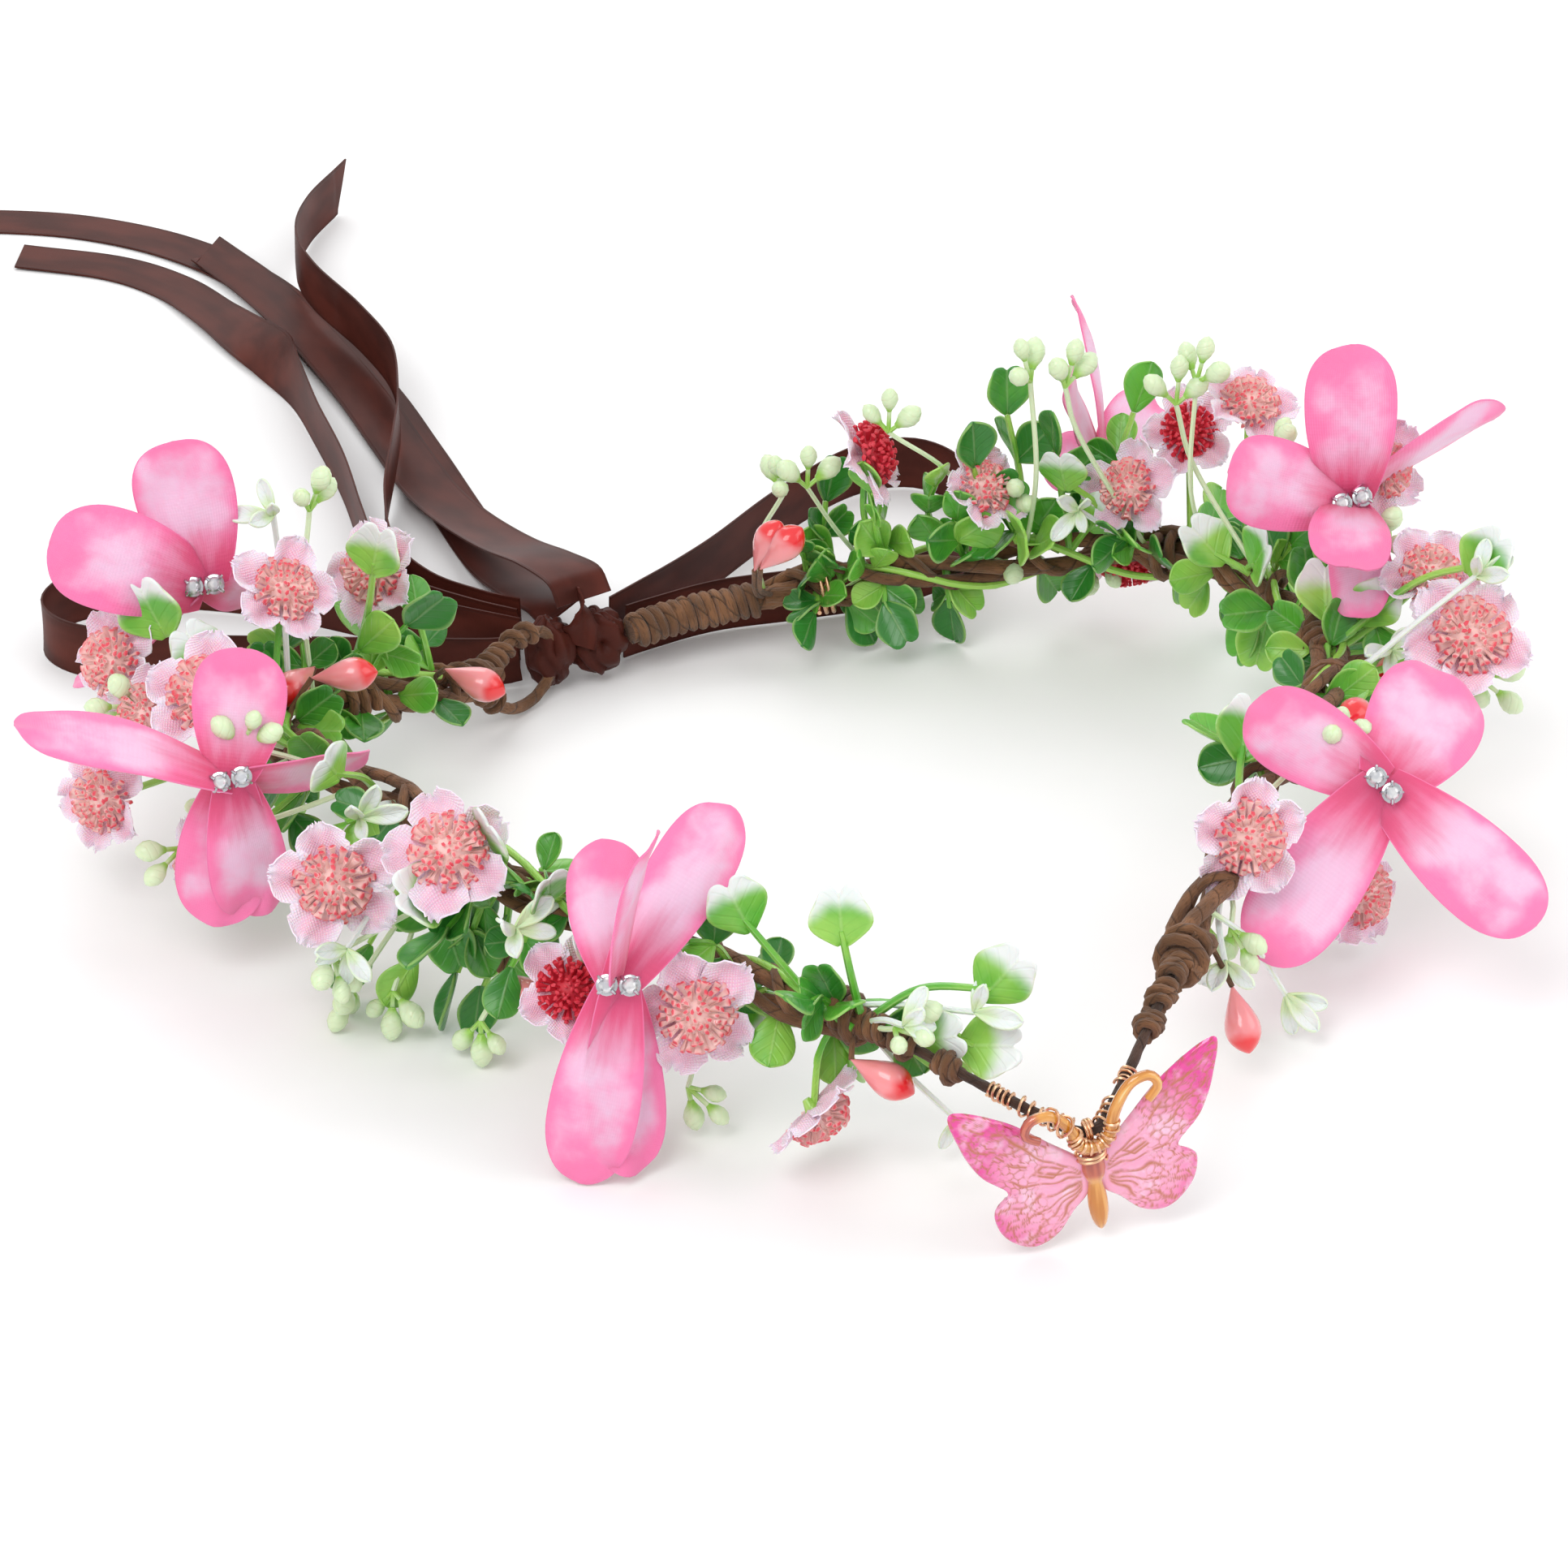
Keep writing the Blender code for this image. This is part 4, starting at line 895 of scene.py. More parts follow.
class CROWN_OT_vines(bpy.types.Operator):
    """Make the twisted vines and the paper cord wound round them"""
    bl_idname = "crown.vines"
    bl_label = "Vines and windings"

    def execute(self, context):
        sizes = context.scene.crown_sizes
        sides = (
            ("left", LEFT_VINE, 1.0, 9, (0.0, 0.2, 0.42, 0.63, 0.82)),
            ("right", RIGHT_VINE, 5.0, 12, (0.0, 0.14, 0.3, 0.4, 0.46, 0.68)))
        for side, route, seed, turns, knots in sides:
            path = vine_path(route)
            strands = [
                strand(path, 0.0, 1.5 * MM, 0.9 * MM, sizes.vine, seed),
                strand(path, math.pi, 1.5 * MM, 1.2 * MM, sizes.vine, seed + 1),
                strand(path, 2.0, 2.0 * MM, 3.2 * MM, 0.75 * sizes.vine, seed + 2)]
            piece(f"vines_{side}", strands, "vine_paper",
                  replaces=[f"vine_{side}_outer", f"vine_{side}_inner"])
            spiral = crumpled(sizes.winding, seed)
            cords = [wound(path, 0.02, 0.98, turns, 3.4 * MM, spiral, 8, seed, 14, 0.5)]
            for index, start in enumerate(knots):
                cords.append(wound(path, start, start + 0.03, 2.4, 3.2 * MM,
                                   crumpled(1.1 * sizes.winding, index), 8, index, 14, 0.4))
            replaced = [f"paper_wrap_{side}"]
            if side == "left":
                cords.append(wound(path, 0.92, 0.985, 3.0, 2.9 * MM, crumpled(sizes.winding, 9.0),
                                   8, 0.4, 14, 0.4))
                replaced.append("paper_wrap_left_end")
            piece(f"windings_{side}", cords, "vine_paper", replaces=replaced)
        return {"FINISHED"}


class CROWN_OT_ends(bpy.types.Operator):
    """Make the wound handle, the end loop and the two gold-coloured rings"""
    bl_idname = "crown.ends"
    bl_label = "Handle, loop and rings"

    def execute(self, context):
        sizes = context.scene.crown_sizes
        path = fine_path(HANDLE)
        core = tube(fine_path([HANDLE_ROOT, *HANDLE]), crumpled(2.1 * MM, 4.0), 14)
        turns = wound(path, 0.0, 0.97, 12, 2.35 * MM, crumpled(0.98 * MM, 2.0), 8, 0.0, 18, 0.16)
        piece("handle", [core, turns], "vine_paper", replaces=["handle_wrap"])
        loop = fine_path(END_LOOP)
        rooted_loop = fine_path([LOOP_ROOTS[0], *END_LOOP, *LOOP_ROOTS[1:]])
        back = tube(rooted_loop, crumpled(1.0 * MM, 6.0), 10)
        wrap = wound(loop, 0.0, 0.3, 3.5, 1.5 * MM, crumpled(0.8 * MM, 3.0), 8)
        bound = [wound(rooted_loop, start, end, 3.2, 1.6 * MM, crumpled(0.9 * MM, phase), 8, phase, 14, 0.3)
                 for start, end, phase in ((0.03, 0.16, 1.0), (0.84, 0.97, 2.0))]
        piece("end_loop_paper", [back, wrap, *bound], "vine_paper", replaces=["end_loop"])
        vine = vine_path(RIGHT_VINE)
        rings = [wound(vine, 0.95, 0.962, 2.2, 4.5 * MM, 1.6 * sizes.copper, 8, 0.3, 28)]
        piece("gold_rings", rings, "copper_wire", replaces=["gold_ring_1", "gold_ring_2"])
        return {"FINISHED"}


class CROWN_OT_front(bpy.types.Operator):
    """Make the front wire, its paper knots and its copper bindings"""
    bl_idname = "crown.front"
    bl_label = "Front wire"

    def execute(self, context):
        sizes = context.scene.crown_sizes
        apex = bench(APEX)
        half = Vector((2.2 * MM, 0, 0))
        corners = [bench(LEG_LEFT), apex - half * 2.4 + Vector((0, 4 * MM, 0.8 * MM)), apex - half * 0.4,
                   apex + half * 0.4, apex + half * 2.4 + Vector((0, 4 * MM, 0.8 * MM)), bench(LEG_RIGHT)]
        wire = smooth_path(corners, FINE_STEP)
        parts = [tube(wire, crumpled(0.85 * MM, 1.0), 10)]
        knots = []
        for route, leg in ((LEFT_VINE, wire[:3]), (RIGHT_VINE, wire[:-4:-1])):
            inside = vine_path(route)[4::-1]
            joint = smooth_path(inside + leg, FINE_STEP)
            parts.append(tube(joint, crumpled(0.85 * MM, 1.0), 10))
            knots.append(wound(joint, 0.35, 0.97, 4.4, 1.5 * MM, crumpled(0.95 * MM, 2.0), 8, 0.0, 14, 0.4))
        piece("front_wire_paper", parts, "dark_wire", replaces=["front_wire"])
        for start, end, turns in ((0.02, 0.09, 3), (0.14, 0.2, 3.2), (0.82, 0.88, 3.4), (0.9, 0.98, 3.2)):
            knots.append(wound(wire, start, end, turns, 1.3 * MM, crumpled(0.8 * MM, start),
                               8, start * 9, 14, 0.5))
            knots.append(wound(wire, start + 0.01, end - 0.01, 1.3, 1.9 * MM, crumpled(0.7 * MM, end),
                               8, 1.0, 14, 0.6))
        piece("front_knots", knots, "vine_paper",
              replaces=["paper_wrap_front_left", "paper_wrap_front_right"])
        coils = []
        for start, end, turns, reach in (
                (0.27, 0.33, 5, 1.15), (0.34, 0.475, 6, 1.35), (0.53, 0.62, 4, 1.3), (0.66, 0.71, 4, 1.15),
                (0.43, 0.48, 2, 1.6)):
            coils.append(wound(wire, start, end, turns, reach * MM, sizes.copper, 6, start * 5, 16, 0.35))
        piece("copper_bindings", coils, "copper_wire", replaces=["wire_binding_left", "wire_binding_right"])
        return {"FINISHED"}


# ---------------------------------------------------------------- cloth butterflies
def wing_lobe(hub, offset, width, roll, layer, seed):
    """One lobe of a cloth wing: narrow at the hub, rounded at the tip, gently bowed."""
    length = offset.length
    ahead = offset / length
    normal = (OUT - OUT.dot(ahead) * ahead).normalized()
    normal = Matrix.Rotation(roll, 3, ahead) @ normal
    side = normal.cross(ahead)

    def place(u, v, *_):
        share = 1.0 - (1.0 - v) ** 1.8
        half = half_width(share, 0.62, 0.48, 0.9, 2.5, 0.45)
        across = 2 * u - 1
        bow = 0.07 * length * math.sin(math.pi * share * 0.9) * (1 if seed % 2 else -0.6)
        cup = -0.06 * width * across * across * half
        wave = 1.3 * MM * share * noise.noise(Vector((across * half * 1.5, share * 3.0, seed)))
        crease = 0.08 * MM * noise.noise(Vector((across * half * 9.0, share * 2.0, seed + 7.0)))
        lift = 0.45 * MM * layer
        spot = hub + ahead * length * share + side * across * half * width / 2
        return spot + normal * (bow + cup + wave + crease + lift)

    return shaped_grid(16, 26, place)


def bevelled_cone(vertices, low, high, depth, middle, bevel, segments, place):
    """A cone cut off at the top, with its radii, depth, middle height and bevel in mm, set at a place."""
    bpy.ops.object.select_all(action="DESELECT")
    bpy.ops.mesh.primitive_cone_add(vertices=vertices, radius1=low * MM, radius2=high * MM, depth=depth * MM,
                                    location=(0, 0, middle * MM))
    item = bpy.context.object
    bpy.ops.object.mode_set(mode="EDIT")
    bpy.ops.mesh.bevel(offset=bevel * MM, segments=segments, affect="EDGES")
    bpy.ops.object.mode_set(mode="OBJECT")
    bpy.ops.object.transform_apply(location=True, rotation=True, scale=True)
    item.data.transform(place)
    return item


def set_stones(centre, body):
    """Two cut stones in claw cups, side by side along the body: glass and metal parts."""
    along = (body - body.dot(OUT) * OUT).normalized()
    glass = []
    metal = []
    base = centre + OUT * 1.7 * MM
    for sign in (-1, 1):
        place = setting(base + along * sign * 1.75 * MM, OUT.cross(along), OUT)
        glass.append(bevelled_cone(8, 1.5, 0.85, 0.9, 1.45, 0.22, 1, place))
        metal.append(bevelled_cone(16, 1.1, 1.75, 1.2, 0.6, 0.12, 2, place))
        for claw in range(4):
            angle = math.radians(45 + 90 * claw)
            way = Vector((math.cos(angle), math.sin(angle), 0))
            points = [way * 1.55 * MM + UP * 0.2 * MM, way * 1.8 * MM + UP * 1.0 * MM,
                      way * 1.55 * MM + UP * 1.75 * MM, way * 1.05 * MM + UP * 2.0 * MM]
            claw_wire = tube(smooth_path(points, 0.4 * MM), 0.3 * MM, 6)
            claw_wire.data.transform(place)
            metal.append(claw_wire)
    return glass, metal


class CROWN_OT_butterflies(bpy.types.Operator):
    """Make the six cloth butterflies and the pairs of set stones on them"""
    bl_idname = "crown.butterflies"
    bl_label = "Cloth butterflies"

    def execute(self, context):
        sizes = context.scene.crown_sizes
        cups = []
        for number, (name, (hub, body, lobes)) in enumerate(BUTTERFLIES.items()):
            centre = bench(hub)
            sheets = []
            for index, (tip, width, roll, layer) in enumerate(lobes):
                offset = Vector(tip) * MM
                lobe = wing_lobe(centre, offset, width * MM, math.radians(roll), layer, number * 5 + index)
                sheets.append(thickened(lobe, sizes.wing_thickness))
            wings = piece(f"butterfly_{name}_cloth", sheets, "wing_satin",
                          replaces=[f"butterfly_{name}_wings"], close=False)
            glass, metal = set_stones(centre, Vector(body))
            stones = piece(f"butterfly_{name}_crystals", glass, "crystal",
                           replaces=[f"butterfly_{name}_stones"], angle=10.0)
            cups += metal
        piece("stone_cups", cups, "silver", angle=40.0)
        return {"FINISHED"}


# ---------------------------------------------------------------- blossoms and pips
def petal_master(size, seed):
    """One frayed petal, along +Y and facing +Z."""
    draw = random.Random(seed)
    fray = [[draw.uniform(-0.35, 1.0) for _ in range(40)] for _ in range(2)]
    columns = 22
    width = 0.88 * size

    def place(u, v, column, row):
        across = 2 * u - 1
        share = 1.0 - (1.0 - v) ** 1.5
        half = half_width(share, 0.6, 0.36, 1.2, 2.2, 0.5)
        reach = size * share
        spread = across * half * width / 2
        if v == 1.0:
            reach += 0.6 * MM * fray[0][column]
            spread = across * 0.30 * width / 2
        elif column in (0, columns) and row > 3:
            spread *= 1.0 + 0.13 * fray[1][(row + column) % 40]
        height = 0.4 * MM * share * share + 1.2 * MM * across * across * share
        height += 1.8 * MM * noise.noise(Vector((across * 1.6, share * 2.0, seed)))
        return Vector((spread, 0.8 * MM + reach, height))

    return thickened(shaped_grid(columns, 12, place), 0.22 * MM)


def petals_master(size, seed):
    draw = random.Random(seed)
    single = petal_master(size, seed)
    petals = []
    for index in range(5):
        turn = Matrix.Rotation(math.tau * index / 5 + draw.uniform(-0.12, 0.12), 4, "Z")
        lean = Matrix.Rotation(draw.uniform(-0.35, 0.2), 4, "X")
        lift = Matrix.Translation((0, 0, 0.12 * MM * (index % 2)))
        petals.append(copied(single, turn @ lift @ lean @ Matrix.Scale(draw.uniform(0.88, 1.05), 4)))
    remove([single])
    return joined(petals)


def stamens_master(length, seed):
    """A domed head of stamens that flare at their tips."""
    draw = random.Random(seed)
    profile = (0.24, 0.24, 0.30, 0.46, 0.62, 0.34)
    points = [Vector((0, length * share, 0)) for share in (0.0, 0.35, 0.7, 0.86, 0.97, 1.0)]

    def reach(along, angle):
        return profile[round(along * 5)] * MM * (1.0 + 0.2 * math.sin(3 * angle))

    single = tube(points, reach, 5, flat=0.7, unit=None)
    count = 104
    stamens = []
    for index in range(count):
        share = (index + 0.5) / count
        polar = math.acos(1.0 - 0.96 * share)
        around = index * GOLDEN_ANGLE
        way = Vector((math.sin(polar) * math.cos(around), math.sin(polar) * math.sin(around),
                      math.cos(polar)))
        way = (way + jitter(draw, 0.10)).normalized()
        size = 0.66 + 0.34 * math.sin(polar) + draw.uniform(-0.07, 0.05)
        stamens.append(copied(single, setting(way * 0.4 * MM, way, jitter(draw, 1.0) + UP * 0.01, size)))
    bpy.ops.object.select_all(action="DESELECT")
    bpy.ops.mesh.primitive_uv_sphere_add(segments=16, ring_count=10, radius=0.6 * length)
    heart = bpy.context.object
    for spot in heart.data.uv_layers.active.data:
        spot.uv.y = 0.0
    for vertex in heart.data.vertices:
        if vertex.co.z < 0:
            vertex.co.z *= 0.1
    stamens.append(heart)
    remove([single])
    return joined(stamens)


def stem_route(root, head, bow):
    middle = root.lerp(head, 0.5) + bow * (head - root).length * 0.22
    return smooth_path([root, middle, head], 1.6 * MM)


class CROWN_OT_blossoms(bpy.types.Operator):
    """Make the frayed cloth blossoms with their heads of stamens and bent stems"""
    bl_idname = "crown.blossoms"
    bl_label = "Blossoms"

    def execute(self, context):
        sizes = context.scene.crown_sizes
        draw = random.Random(11)
        petals = [petals_master(sizes.petal, seed) for seed in (3, 4, 8)]
        heads = [stamens_master(sizes.stamen, seed) for seed in (5, 6)]
        red = []
        for side, route, spots, nodes in (
                ("left", LEFT_VINE, BLOSSOMS_LEFT, range(1, 9)),
                ("right", RIGHT_VINE, BLOSSOMS_RIGHT, range(9, 13))):
            path = vine_path(route)
            cloth = []
            stamens = []
            stems = []
            for index, (spot, facing, size, deep) in enumerate(spots):
                centre = bench(spot)
                facing = (Vector(facing).normalized() + jitter(draw, 0.24)).normalized()
                ahead = Matrix.Rotation(draw.uniform(0, math.tau), 3, facing) @ facing.orthogonal()
                place = setting(centre - facing * 1.0 * MM, ahead, facing, size)
                cloth.append(copied(petals[index % 3], place))
                head = copied(heads[index % 2], place)
                (red if deep else stamens).append(head)
                root = nearest(path, centre)
                stem = stem_route(root, centre - facing * 1.2 * MM, -facing * 0.6)
                stems.append(tube(stem, 0.6 * MM, 6))
                calyx = [centre - facing * distance * MM for distance in (3.4, 2.2, 1.2, 0.6)]
                stems.append(tube(calyx, lambda along, _: (0.6 + 1.3 * along) * MM, 8))
            piece(f"petals_{side}", cloth, "blossom_cloth", close=False, angle=60.0,
                  replaces=[f"blossom_{node:02d}" for node in nodes])
            piece(f"stamens_{side}", stamens, "stamen")
            piece(f"blossom_stems_{side}", stems, "stem")
        piece("stamens_red", red, "stamen_red")
        remove(petals + heads)
        return {"FINISHED"}


class CROWN_OT_pips(bpy.types.Operator):
    """Make the glossy pips on their wire stems"""
    bl_idname = "crown.pips"
    bl_label = "Pips"

    def execute(self, context):
        sizes = context.scene.crown_sizes
        length = sizes.pip
        count = 18
        shares = [0.5 - 0.5 * math.cos(math.pi * index / count) for index in range(count + 1)]
        points = [Vector((0, (share - 0.5) * length, 0)) for share in shares]

        def reach(along, _):
            share = shares[round(along * count)]
            belly = math.sin(math.pi * share ** 1.7) ** 0.75
            return 0.215 * length * (belly + 0.22 * math.sin(math.pi * share) ** 0.6)

        single = tube(points, reach, 20, unit=None)
        paths = [vine_path(LEFT_VINE), vine_path(RIGHT_VINE)]
        pips = []
        stems = []
        for spot, way in PIPS:
            centre = bench(spot)
            way = Vector(way).normalized()
            pips.append(copied(single, setting(centre, way, OUT)))
            root = nearest([nearest(path, centre) for path in paths], centre)
            stems.append(tube(stem_route(root, centre - way * 0.48 * length, -way * 0.5), 0.5 * MM, 6))
        remove([single])
        piece("pips", pips, "pip_gloss", replaces=["pip_left", "pip_right"])
        piece("pip_stems", stems, "vine_paper")
        return {"FINISHED"}


# ---------------------------------------------------------------- greenery
LEAF_PILES = ("leaf", "leaf", "leaf_dark", "stem")     # finishes of round leaves, the first twice as often


def leaf_master(length, width, notch, cup, seed):
    """One moulded leaf along +Y, facing +Z: rounded, creased, with or without a notched tip."""
    widest = 0.58

    def place(u, v, *_):
        across = 2 * u - 1
        share = 1.0 - (1.0 - v) ** 1.4
        half = max(0.02, half_width(share, widest, 0.14, 1.1, 2.3, 0.5))
        reach = share * length
        height = cup * length * (across * across * half - 0.25 * share) + 0.04 * length * abs(across)
        height += 0.05 * length * noise.noise(Vector((across * 1.4, share * 2.0, seed)))
        spread = across * width / 2 * half
        if notch:
            tip = max(0.0, (share - 0.55) / 0.45)
            spread = across * width / 2 * (half if share < widest else 1.0 - 0.34 * tip ** 2)
            reach += notch * length * share ** 3 * math.sqrt(1.0 - (2.0 * abs(across) - 1.0) ** 2)
        return Vector((spread, reach, height))

    return thickened(shaped_grid(12 if notch else 8, 7, place), 0.55 * MM, 1)


def bud_master(length):
    points = [Vector((0, length * share, 0)) for share in (0.0, 0.1, 0.28, 0.5, 0.72, 0.9, 1.0)]
    profile = (0.10, 0.14, 0.26, 0.33, 0.30, 0.17, 0.0)

    def reach(along, _):
        return profile[round(along * 6)] * length

    return tube(points, reach, 10, unit=None)


def green_sprig(path, spot, masters, draw, parts):
    """A stem with a leaf at its tip, a pair below it and one more lower down; each leaf's finish is picked at
    random.
    """
    centre = bench(spot)
    root = nearest(path, centre)
    reach = centre - root
    if reach.length < 5 * MM:
        root = root - reach.normalized() * 3 * MM
    stem = stem_route(root, centre, (UP * 0.4 + jitter(draw, 0.5)))
    parts["stem"].append(tube(stem, lambda along, _: (0.75 - 0.25 * along) * MM, 6))
    ahead = (stem[-1] - stem[-2]).normalized()
    for share, turn in ((1.0, 0.0), (0.62, 1.15), (0.62, -1.15), (0.3, 0.9)):
        at = stem[round(share * (len(stem) - 1))]
        facing = (OUT + jitter(draw, 0.95)).normalized()
        way = Matrix.Rotation(turn + draw.uniform(-0.3, 0.3), 3, facing) @ ahead
        master = draw.choice(masters)
        pile = draw.choice(LEAF_PILES)
        size = draw.uniform(0.7, 1.08) * (1.0 if share == 1.0 else 0.88)
        parts[pile].append(planted(master, setting(at, way + jitter(draw, 0.15), facing, size)))


def tipped_leaf(path, spot, masters, draw, parts):
    centre = bench(spot)
    root = rooted(path, centre, draw)
    stem = stem_route(root, centre, UP * 0.35 + jitter(draw, 0.3))
    parts["stem"].append(tube(stem, lambda along, _: (0.7 - 0.15 * along) * MM, 6))
    ahead = ((centre - root).normalized() + UP * 0.5 + jitter(draw, 0.25)).normalized()
    facing = (OUT + jitter(draw, 0.35)).normalized()
    back = centre - ahead * 2.5 * MM
    master = draw.choice(masters)
    parts["leaf_tipped"].append(planted(master, setting(back, ahead, facing, draw.uniform(0.92, 1.12))))


def bud_spray(path, spot, way, master, draw, parts):
    """Three buds on short stalks at the end of a stem."""
    way = Vector(way).normalized()
    centre = bench(spot)
    root = rooted(path, centre, draw)
    fork = centre - way * 3.0 * MM
    parts["bud"].append(tube(stem_route(root, fork, UP * 0.25 + jitter(draw, 0.6)), 0.45 * MM, 6))
    spread = Matrix.Rotation(draw.uniform(0, math.tau), 3, way) @ way.orthogonal()
    for turn in (-0.75, 0.0, 0.8):
        ahead = (way + spread * math.sin(turn) * 1.1 + jitter(draw, 0.12)).normalized()
        stalk = (2.2 + 1.6 * (turn == 0.0) + draw.uniform(0, 1.0)) * MM
        tip = fork + ahead * stalk
        parts["bud"].append(tube([fork, fork.lerp(tip, 0.5), tip], 0.42 * MM, 5))
        place = setting(tip - ahead * 0.4 * MM, ahead, OUT, draw.uniform(0.8, 1.12))
        parts["bud"].append(planted(master, place))


def floret(path, spot, way, master, draw, parts):
    """A slender white sprig: four narrow blades that spread from a node."""
    way = Vector(way).normalized()
    centre = bench(spot)
    root = rooted(path, centre, draw)
    parts["floret"].append(tube(stem_route(root, centre, UP * 0.2 + jitter(draw, 0.25)), 0.5 * MM, 6))
    spread = Matrix.Rotation(draw.uniform(0, math.tau), 3, way) @ way.orthogonal()
    for index in range(4):
        out = Matrix.Rotation(math.tau * index / 4 + draw.uniform(-0.4, 0.4), 3, way) @ spread
        ahead = (way + out * draw.uniform(0.5, 1.2)).normalized()
        size = draw.uniform(0.65, 1.1)
        parts["floret"].append(planted(master, setting(centre, ahead, OUT + jitter(draw, 0.4), size)))


def vine_leaves(path, spans, masters, draw, parts):
    """Leaves that spring from the vine itself, and plastic stems that run along with it."""
    ways = carried(path)
    for start, end, count in spans:
        run = path[round(start * (len(path) - 1)):round(end * (len(path) - 1)) + 1]
        for phase in (0.5, 3.3):
            parts["stem"].append(strand(run, phase + 4 * start, 2.8 * MM, 2.0 * MM, 0.62 * MM, phase))
        for _ in range(count):
            at = round(draw.uniform(start, end) * (len(path) - 1))
            ahead, side, upward = ways[at]
            angle = draw.uniform(0, math.tau)
            out = math.cos(angle) * side + math.sin(angle) * upward
            way = (out + ahead * draw.uniform(-0.9, 0.9)).normalized()
            root = path[at] + out * draw.uniform(2.0, 4.5) * MM
            facing = (OUT + jitter(draw, 0.8)).normalized()
            pile = draw.choice(LEAF_PILES)
            master = draw.choice(masters)
            parts[pile].append(planted(master, setting(root, way, facing, draw.uniform(0.6, 0.98))))


class CROWN_OT_greenery(bpy.types.Operator):
    """Make the leaf sprigs, white-tipped leaves, sprays of buds and white florets"""
    bl_idname = "crown.greenery"
    bl_label = "Greenery"

    def execute(self, context):
        sizes = context.scene.crown_sizes
        leaf = sizes.leaf
        round_leaves = [
            leaf_master(leaf, 0.86 * leaf, 0.0, 0.10, 1),
            leaf_master(leaf, 0.78 * leaf, 0.0, -0.12, 2),
            leaf_master(0.95 * leaf, 0.98 * leaf, 0.12, 0.14, 3)]
        hearts = [
            leaf_master(0.86 * leaf, 1.08 * leaf, 0.26, 0.18, 4),
            leaf_master(0.82 * leaf, leaf, 0.24, -0.12, 5)]
        blade = leaf_master(0.78 * leaf, 0.34 * leaf, 0.0, 0.08, 6)
        bud = bud_master(sizes.bud)
        sides = (
            ("left", LEFT_VINE, GREEN_LEFT, TIPPED_LEFT, BUDS_LEFT, FLORETS_LEFT,
             ["sprig_back_left", "sprig_left", "sprig_front"], 21,
             ((0.0, 0.13, 6), (0.2, 0.42, 12), (0.6, 0.93, 15))),
            ("right", RIGHT_VINE, GREEN_RIGHT, TIPPED_RIGHT, BUDS_RIGHT, FLORETS_RIGHT,
             ["sprig_right", "sprig_back_right"], 22,
             ((0.3, 0.6, 12), (0.6, 0.97, 24))))
        for side, route, greens, tipped, buds, florets, nodes, seed, spans in sides:
            draw = random.Random(seed)
            path = vine_path(route)
            parts = {key: [] for key in ("leaf", "leaf_dark", "leaf_tipped", "floret", "stem", "bud")}
            vine_leaves(path, spans, round_leaves, draw, parts)
            for spot in greens:
                green_sprig(path, spot, round_leaves, draw, parts)
            for spot in tipped:
                tipped_leaf(path, spot, hearts, draw, parts)
            for spot, way in buds:
                bud_spray(path, spot, way, bud, draw, parts)
            for spot, way in florets:
                floret(path, spot, way, blade, draw, parts)
            for key, items in parts.items():
                piece(f"{key}s_{side}", items, key,
                      replaces=nodes if key == "leaf" else ())
        remove(round_leaves + hearts + [blade, bud])
        return {"FINISHED"}


# ---------------------------------------------------------------- the charm
def charm_place(rise=0.0):
    """Where the charm hangs, with its origin on the hinge line or that far above it."""
    turn = CHARM_TURN.to_matrix().to_4x4()
    return Matrix.Translation(bench(APEX)) @ turn @ Matrix.Translation((0, rise, 0))


def to_lines(points, lines):
    """Distance from each of many flat points to the nearest of some polylines."""
    best = numpy.full(len(points), 1e9)
    for line in lines:
        for start, end in zip(line, line[1:]):
            start = numpy.array(start)
            way = numpy.array(end) - start
            share = numpy.clip((points - start) @ way / (way @ way), 0.0, 1.0)
            best = numpy.minimum(best, numpy.linalg.norm(points - start - share[:, None] * way, axis=1))
    return best


def foil_lines(points):
    """Where foil shows on a charm wing: cell walls towards the rim, and flowing veins."""
    draw = random.Random(9)
    seeds = []
    for row in range(24):
        for column in range(16):
            seeds.append((column * 1.45 + 0.72 * (row % 2) + draw.uniform(-0.3, 0.3),
                          row * 1.3 - 16.5 + draw.uniform(-0.3, 0.3)))
    gaps = numpy.linalg.norm(points[:, None, :] - numpy.array(seeds)[None], axis=2)
    gaps.sort(axis=1)
    walls = 1.0 - numpy.clip((gaps[:, 1] - gaps[:, 0]) / 0.32, 0.0, 1.0)
    from_hub = numpy.linalg.norm(points - numpy.array(CHARM_HUB), axis=1)
    outer = numpy.clip((from_hub - 5.0) / 3.0, 0.0, 1.0)
    veins = 1.0 - numpy.clip(to_lines(points, CHARM_VEINS) / 0.36, 0.0, 1.0)
    return numpy.maximum(walls * outer, veins)


